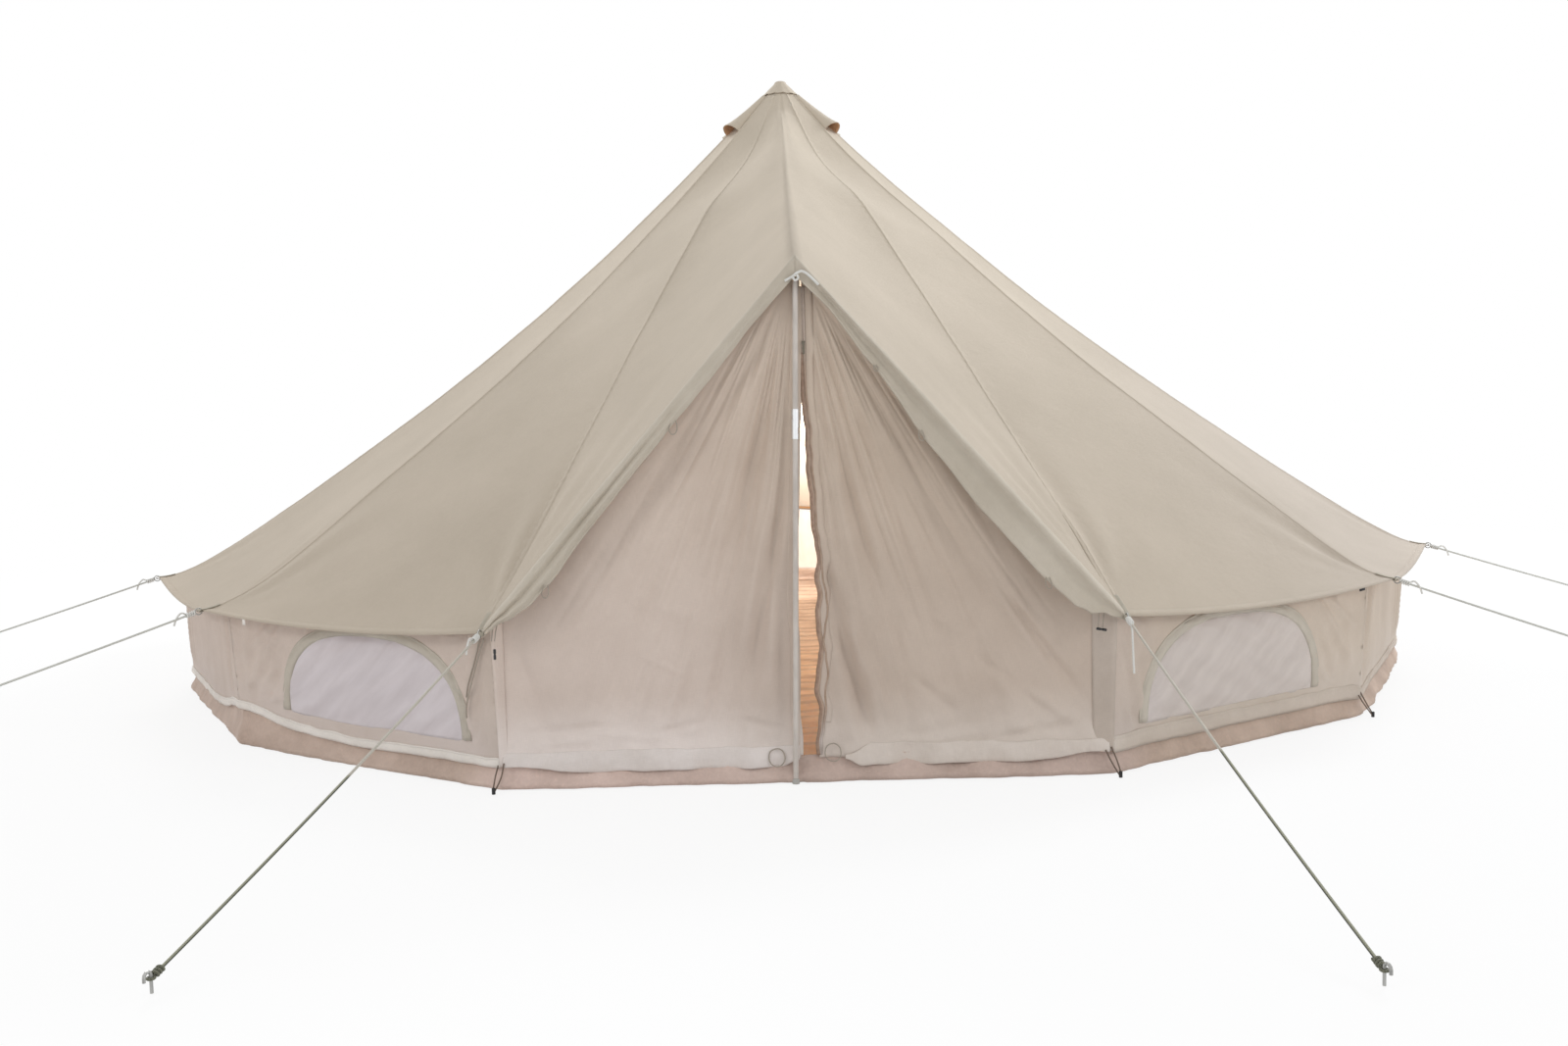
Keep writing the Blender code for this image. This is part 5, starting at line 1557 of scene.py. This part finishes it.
# Pegs, toggles and zip slider: bent steel wire, black moulded toggles and a dark cast slider. Their
# solids already have the shape of the real ones, so they only take a finish.
for label in ("front_left", "front_right", "left", "rear_left", "rear_right", "right"):
    dress(f"peg_{label}", PEG_STEEL)
for label in ("left", "right"):
    toggle_black = moulded(f"toggle_look_{label}", (0.012, 0.012, 0.013), (0.03, 0.03, 0.032), 0.4)
    dress(f"toggle_{label}", toggle_black)
dress("zip_slider", worn_metal("zip_metal_look", (0.12, 0.105, 0.08), (0.22, 0.20, 0.16), 0.45, 500.0))


# Cords, loops and knots: braided polyester in white, pale grey, dull green and brown. Each is a
# round tube along its path, with the braid in its material.
def braided(name, dark, light, far_dark=None, far_light=None, change_at=0.0):
    """A round braid that follows the cord; a far part in other colours may follow change_at metres."""
    material, tree, shader = finish(name, light, 0.75)
    shader.inputs["Sheen Weight"].default_value = 0.15
    strands = []
    for lean in (1.0, -1.0):
        vector = pattern_source(tree, "UV", (6.0 * lean, 110.0, 0.0))
        wave = tree.nodes.new("ShaderNodeTexWave")
        wave.bands_direction = "DIAGONAL"
        wave.inputs["Scale"].default_value = math.tau / 10.0
        tree.links.new(vector, wave.inputs["Vector"])
        strands.append(wave.outputs["Fac"])
    braid = tree.nodes.new("ShaderNodeMath")
    braid.operation = "MAXIMUM"
    tree.links.new(strands[0], braid.inputs[0])
    tree.links.new(strands[1], braid.inputs[1])
    color = between(tree, braid.outputs[0], 0.25, 0.85, dark, light)
    if far_dark:
        uv = tree.nodes.new("ShaderNodeSeparateXYZ")
        tree.links.new(pattern_source(tree, "UV"), uv.inputs[0])
        core = between(tree, uv.outputs["X"], 0.0, 1.0, far_light, far_light)
        for position, tone in ((0.10, far_light), (0.20, far_dark), (0.80, far_dark), (0.90, far_light)):
            core.node.color_ramp.elements.new(position).color = (*tone, 1.0)
        relief = between(tree, braid.outputs[0], 0.25, 0.85, (0.3,) * 3, (1.0,) * 3)
        far = mixed(tree, 0.35, core, relief, "MULTIPLY")
        past = between(tree, uv.outputs["Y"], 0.0, 1.0, (0.0,) * 3, (1.0,) * 3)
        past.node.color_ramp.elements[0].position = change_at
        past.node.color_ramp.elements[1].position = change_at + 0.02
        color = mixed(tree, past, color, far)
    tree.links.new(color, shader.inputs["Base Color"])
    bumped(tree, shader, braid.outputs[0], 0.0012, 0.7)
    return material


def cord_tube(name, path, radius, material, sides=12):
    """A closed round tube along a path, its texture place in turns around and metres along."""
    points, uv, faces = [], [], []
    run = 0.0
    side = Vector((0.0, -0.6, 0.8))
    for n, point in enumerate(path):
        before, after = path[max(n - 1, 0)], path[min(n + 1, len(path) - 1)]
        ahead_here = (after - before).normalized()
        if n:
            run += (point - path[n - 1]).length
        side = (side - ahead_here * side.dot(ahead_here)).normalized()
        other = ahead_here.cross(side)
        for k in range(sides):
            angle = math.tau * k / sides
            points.append(point + (side * math.cos(angle) + other * math.sin(angle)) * radius)
            uv.append((k / sides, run))
    for n in range(len(path) - 1):
        for k in range(sides):
            a, b = n * sides + k, n * sides + (k + 1) % sides
            faces.append((a, b, b + sides, a + sides))
    faces.append(tuple(range(sides))[::-1])
    faces.append(tuple((len(path) - 1) * sides + k for k in range(sides)))
    mesh = bpy.data.meshes.new(name)
    mesh.from_pydata([tuple(point) for point in points], [], faces)
    layer = mesh.uv_layers.new(name="UVMap")
    for face in mesh.polygons:
        wraps = {0, sides - 1} <= {n % sides for n in face.vertices}
        for loop in face.loop_indices:
            vertex = mesh.loops[loop].vertex_index
            u, v = uv[vertex]
            layer.data[loop].uv = (1.0 if wraps and vertex % sides == 0 else u, v)
    mesh.materials.append(material)
    mesh.shade_smooth()
    mesh.set_sharp_from_angle(angle=math.radians(60))
    piece = bpy.data.objects.new(name, mesh)
    bpy.context.scene.collection.objects.link(piece)
    return piece


def rounded(points, steps=6):
    """A smooth path through a few points."""
    path = []
    last = len(points) - 1
    for n in range(last):
        a, b, c, d = (points[max(n - 1, 0)], points[n], points[n + 1], points[min(n + 2, last)])
        for step in range(steps):
            t = step / steps
            path.append(0.5 * (2 * b + (c - a) * t + (2 * a - 5 * b + 4 * c - d) * t * t
                               + (3 * b - a - 3 * c + d) * t ** 3))
    path.append(points[-1])
    return path


WHITE_CORD = braided("white_cord_look", (0.62, 0.61, 0.57), (0.84, 0.83, 0.79))
BROWN_CORD = braided("brown_cord_look", (0.10, 0.07, 0.05), (0.22, 0.16, 0.12))
GUY_PALE = braided("guy_rope_pale", (0.48, 0.48, 0.44), (0.68, 0.68, 0.63))
GUY_FRONT = braided("guy_rope_front", (0.44, 0.405, 0.345), (0.62, 0.58, 0.505), (0.035, 0.04, 0.025),
                    (0.36, 0.36, 0.26), 0.79)

# Guy ropes: 8 mm rope from a steel ring on a webbing tab at an eave corner to a steel peg,
# with a hitch at the ring and another at the peg.
ROPE_RADIUS, ROPE_SAG, ROPE_START = 0.004, 0.012, 0.022
PEG_RADIUS, PEG_NOTCH = 0.004, 0.034
GUYS = {            # corner, distance of the peg from the centre pole, and its turn past the corner
    "front_right": (0, 4.68, -0.096), "right": (1, 4.97, 0.028), "rear_right": (2, 4.88, 0.0),
    "rear_left": (10, 4.88, 0.0), "left": (11, 5.10, -0.026), "front_left": (12, 4.635, 0.025),
}
WEBBING = canvas("webbing_look", (0.40, 0.36, 0.29), (0.52, 0.475, 0.39), 14.0, 0.0018)


def steel_ring(name, middle, normal, radius, wire, body):
    bpy.ops.object.select_all(action="DESELECT")
    bpy.ops.mesh.primitive_torus_add(major_radius=radius, minor_radius=wire, major_segments=40,
                                     minor_segments=12)
    ring = bpy.context.object
    ring.name = name
    ring.data.name = name
    ring.data.shade_smooth()
    ring.data.transform(Matrix.Translation(middle) @ normal.to_track_quat("Z", "Y").to_matrix().to_4x4())
    ring.data.materials.append(PEG_STEEL)
    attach(ring, body)
    return ring


def corner_tab(index):
    """Webbing stitched along the end of a seam and folded round the ring."""
    corner = seam_point(index, 1.0)
    stations = []
    seam_dir = (seam_point(index, 1.0) - seam_point(index, 0.985)).normalized()
    out = Vector((0.0, 0.0, 1.0))
    side = seam_dir.cross(out).normalized()
    up_here = side.cross(seam_dir).normalized()
    if up_here.z < 0:
        up_here.negate()
    for n in range(15):
        t = n / 14
        s = 0.978 + 0.022 * t
        point = beside_seam(index, s, 0.0001, 0.0042)
        stations.append((point, up_here, side, t * 0.08))
    tip = corner + seam_dir * 0.012
    stations.append((tip + up_here * 0.0035, up_here, side, 0.095))
    stations.append((corner + seam_dir * 0.0165, seam_dir, side, 0.1))
    stations.append((tip - up_here * 0.0040, -up_here, side, 0.105))
    for n in range(8):
        t = n / 7
        point = beside_seam(index, 1.0 - 0.012 * t, 0.0001, -0.0042)
        stations.append((point, -up_here, side, 0.11 + t * 0.04))

    def section(run):
        half = 0.0125
        return ((-half, -0.0008), (-half, 0.0008), (-half * 0.6, 0.0011), (half * 0.6, 0.0011),
                (half, 0.0008), (half, -0.0008))

    tab = strip_along(f"eave_tab_{index:02d}", stations, section, WEBBING)
    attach(tab, "tent")


for index in range(PANELS + 1):
    corner_tab(index)

for label, (corner, reach, twist) in GUYS.items():
    eave = seam_point(corner, 1.0)
    ground = around(corner_azimuth(corner) + twist, reach)
    notch = ground + Vector((0.0, 0.0, PEG_NOTCH))
    line = (notch - eave).normalized()
    start = eave + line * ROPE_START
    end = notch - line * (PEG_RADIUS + ROPE_RADIUS + 0.0018)
    path = []
    for step in range(21):
        w = step / 20
        place = start.lerp(end, w)
        place.z -= ROPE_SAG * 4 * w * (1 - w)
        path.append(place)
    fine_path = rounded(path, 4)
    is_front = corner in (0, PANELS)
    rope_stuff = GUY_FRONT if is_front else GUY_PALE
    rope = cord_tube(f"guy_rope_braid_{label}", fine_path, ROPE_RADIUS, rope_stuff)
    side = line.cross(Vector((0.0, 0.0, 1.0))).normalized()
    above = side.cross(line).normalized()
    if above.z < 0:
        above.negate()
    ring = steel_ring(f"guy_ring_{label}", eave + line * 0.0125, side, 0.0125, 0.0022, "tent")
    hitch = []
    for step in range(64):
        t = step / 63
        angle = math.tau * 4.2 * t
        middle = start + line * (0.004 + 0.034 * t)
        hitch.append(middle + (side * math.cos(angle) + above * math.sin(angle)) * 0.0072)
    tail_start = hitch[-1]
    drop = Vector((0.0, 0.0, -1.0))
    if label == "front_right":
        tail = [tail_start, tail_start + line * 0.012 + drop * 0.03, tail_start + line * 0.02 + drop * 0.10,
                tail_start + line * 0.028 + drop * 0.155]
    else:
        tail = [tail_start, tail_start + line * 0.014 + above * 0.008,
                tail_start + line * 0.034 + drop * 0.006,
                tail_start + line * 0.044 + drop * 0.03]
    knot = cord_tube(f"guy_hitch_{label}", hitch[:-1] + rounded(tail, 7), 0.0034, WHITE_CORD)
    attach(knot, "tent")
    eye = []
    for step in range(33):
        angle = math.pi * 0.10 + math.pi * 1.80 * step / 32
        round_peg = PEG_RADIUS + 0.0036
        eye.append(notch + (-line.xy.to_3d().normalized() * math.cos(angle)
                            + side * math.sin(angle)) * round_peg)
    for step in range(40):
        t = step / 39
        angle = math.tau * 3.0 * t
        middle = end - line * (0.001 + 0.026 * t)
        eye.append(middle + (side * math.cos(angle) + above * math.sin(angle)) * 0.0072)
    loop = cord_tube(f"guy_loop_{label}", eye, 0.0034, GUY_PALE if not is_front else
                     braided(f"guy_loop_front_{label}", (0.04, 0.045, 0.03), (0.20, 0.20, 0.14)))
    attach(loop, "tent")
    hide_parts(f"guy_rope_{label}")
    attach(rope, "tent")


# Small cords and tabs, of thin braid and webbing: tie loops under the hem band, the knot at the
# pole's top, cord rings at the foot of the doors, the toggles' cords, peg loops at the base, two
# ties beside the left window and two tabs under the eave.
def hanging_loop(name, body, top, drop, width, radius, material, lean=0.0):
    """A loop of thin cord that hangs from a point, its two ends sewn in side by side."""
    x, y, z = top
    shape = ((-0.3, 0.0), (-0.45, -0.35), (-0.5, -0.7), (-0.2, -1.0), (0.25, -1.0), (0.5, -0.68),
             (0.42, -0.3), (0.25, 0.02))
    path = rounded([Vector((x + width * across + lean * -down, y - 0.004 * -down, z + drop * down))
                    for across, down in shape], 6)
    loop = cord_tube(name, path, radius, material, 10)
    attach(loop, body)


def band_edge(side, x):
    """The lower edge of the door opening's hem band, x metres from the middle."""
    for step in range(1000):
        w = step / 1000
        v = 0.96
        point = opening_point(w, read_off(BAND_WIDTHS[side], w) * v, 0.003 + band_bulge(side, w, v))
        if point.x >= x:
            break
    return mirrored(point, side)


TIE_CORD = braided("tie_cord_look", (0.30, 0.25, 0.20), (0.46, 0.40, 0.33))
TIE_LOOPS = (       # name, side of the door, distance from the middle, length and width
    ("left_upper", -1, 0.403, 0.042, 0.026), ("left_lower", -1, 0.832, 0.040, 0.022),
    ("right_upper", 1, 0.392, 0.034, 0.016), ("right_lower", 1, 0.795, 0.036, 0.020),
    ("right_top", 1, 0.250, 0.020, 0.014),
)
for name, side, x, drop, width in TIE_LOOPS:
    top = band_edge(side, x) + Vector((0.0, -0.003, 0.006))
    hanging_loop(f"tie_loop_{name}", "tent", top, drop, width, 0.0018, TIE_CORD, 0.004 * side)

for name, side, x, body in (("left", -1, 0.099, "left_door"), ("right", 1, 0.088, "right_door")):
    middle = Vector((side * x, DOOR_Y - 0.012, 0.088 if side < 0 else 0.101))
    path = []
    for step in range(49):
        turn = math.pi / 2 + math.tau * step / 48
        radius = 0.029 + 0.002 * ripple(turn, side * 4.0)
        path.append(middle + Vector((radius * 0.92 * math.cos(turn), -0.004 + 0.006 * math.sin(turn),
                                     radius * math.sin(turn))))
    ring = cord_tube(f"door_ring_{name}", path, 0.0021, TIE_CORD, 10)
    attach(ring, body)

KNOT_Y = OPENING_TOP.y - 0.011
KNOT_PATH = (
    (-0.034, 0.004, -0.078), (-0.018, 0.000, -0.070), (-0.006, -0.005, -0.064),
    (0.004, -0.009, -0.060), (0.009, -0.006, -0.070), (0.000, -0.004, -0.078),
    (-0.007, -0.006, -0.068), (0.001, -0.012, -0.058), (0.010, -0.010, -0.053),
    (0.022, -0.006, -0.050), (0.040, -0.006, -0.060), (0.074, -0.004, -0.094),
)
knot_turns = rounded([Vector((x, KNOT_Y + y, OPENING_TOP.z + z)) for x, y, z in KNOT_PATH], 8)
pole_knot = cord_tube("pole_top_knot", knot_turns, 0.0042, WHITE_CORD)
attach(pole_knot, "tent")

for name, pivot, spread, reach in (("left", Vector((-1.010, -2.89477, 0.535)), 0.006, 0.022),
                                   ("right", Vector((0.972, -2.89477, 0.545)), 0.009, 0.045)):
    for strand, letter in ((-1, "a"), (1, "b")):
        top = pivot + Vector((strand * spread + 0.004, 0.012, 0.034))
        foot = pivot + Vector((strand * spread * 0.8 - 0.004, 0.001, -reach))
        path = rounded([top, top.lerp(foot, 0.4) - Vector((0.0, 0.005, 0.0)), foot], 8)
        cord = cord_tube(f"toggle_cord_{name}_{letter}", path, 0.0016, TIE_CORD, 10)
        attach(cord, f"{name}_toggle")

for index in (0, 1, 3, 4, 5, 6, 7, 8, 9, 12):
    azimuth = corner_azimuth(index)
    beside = Vector((math.cos(azimuth), math.sin(azimuth), 0.0))
    foot = around(azimuth, BASE_RADIUS + (0.056 if index in (0, 1, PANELS) else 0.040), 0.009)
    up = foot_lift(azimuth) * 0.8
    lean = beside * (-0.016 if index in (0, 1) else 0.004)
    strands = [around(azimuth, BASE_RADIUS + 0.010, 0.094 + up) + beside * 0.011 + lean,
               around(azimuth, BASE_RADIUS + 0.030, 0.050 + up * 0.5) + beside * 0.012 + lean * 0.5,
               foot + beside * 0.003, foot - beside * 0.003 - Vector((0.0, 0.0, 0.002)),
               around(azimuth, BASE_RADIUS + 0.030, 0.050 + up * 0.5) - beside * 0.010 + lean * 0.5,
               around(azimuth, BASE_RADIUS + 0.010, 0.086 + up) - beside * 0.011 + lean]
    loop = cord_tube(f"base_loop_{index:02d}", rounded(strands, 8), 0.0026, BROWN_CORD, 10)
    ends = [foot + Vector((0.0, 0.0, 0.012)), foot, foot - Vector((0.0, 0.0, 0.008))]
    whipping = cord_tube(f"base_loop_end_{index:02d}", ends, 0.0062, BLACK_RUBBER)
    for piece in (loop, whipping):
        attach(piece, "tent")

for name, gore, w, half, drop, stuff in (("right", 0, 0.865, 0.016, 0.012, BLACK_RUBBER),
                                         ("left", 11, 0.17, 0.008, 0.024, HEM_CANVAS)):
    edge = roof_point(gore, w, 1.0)
    along = (roof_point(gore, w + 0.01, 1.0) - roof_point(gore, w - 0.01, 1.0)).normalized()
    outward = along.cross(Vector((0.0, 0.0, 1.0))).normalized()
    stations = []
    for t in (-0.1, 0.25, 0.6, 1.0):
        point = edge - Vector((0.0, 0.0, drop * t)) + outward * 0.0008 * ripple(t * 3.0, gore)
        stations.append((point, outward, along, drop * t))

    def tab_section(run, half=half):
        return ((-half, -0.0010), (-half, 0.0010), (half, 0.0010), (half, -0.0010))

    tab = strip_along(f"eave_loop_tab_{name}", stations, tab_section, stuff)
    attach(tab, "tent")

left_front = wall_plans[PANELS - 1]
for name, spots in (("a", ((0.674, 0.515), (0.642, 0.44), (0.606, 0.345), (0.584, 0.28), (0.574, 0.24))),
                    ("b", ((0.655, 0.515), (0.624, 0.44), (0.590, 0.36), (0.572, 0.31)))):
    path = [left_front.place(x, y, wall_slack(left_front, x, y) + 0.0105) for x, y in spots]
    tie = cord_tube(f"window_tie_{name}", rounded(path, 8), 0.0030, TIE_CORD, 10)
    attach(tie, "tent")
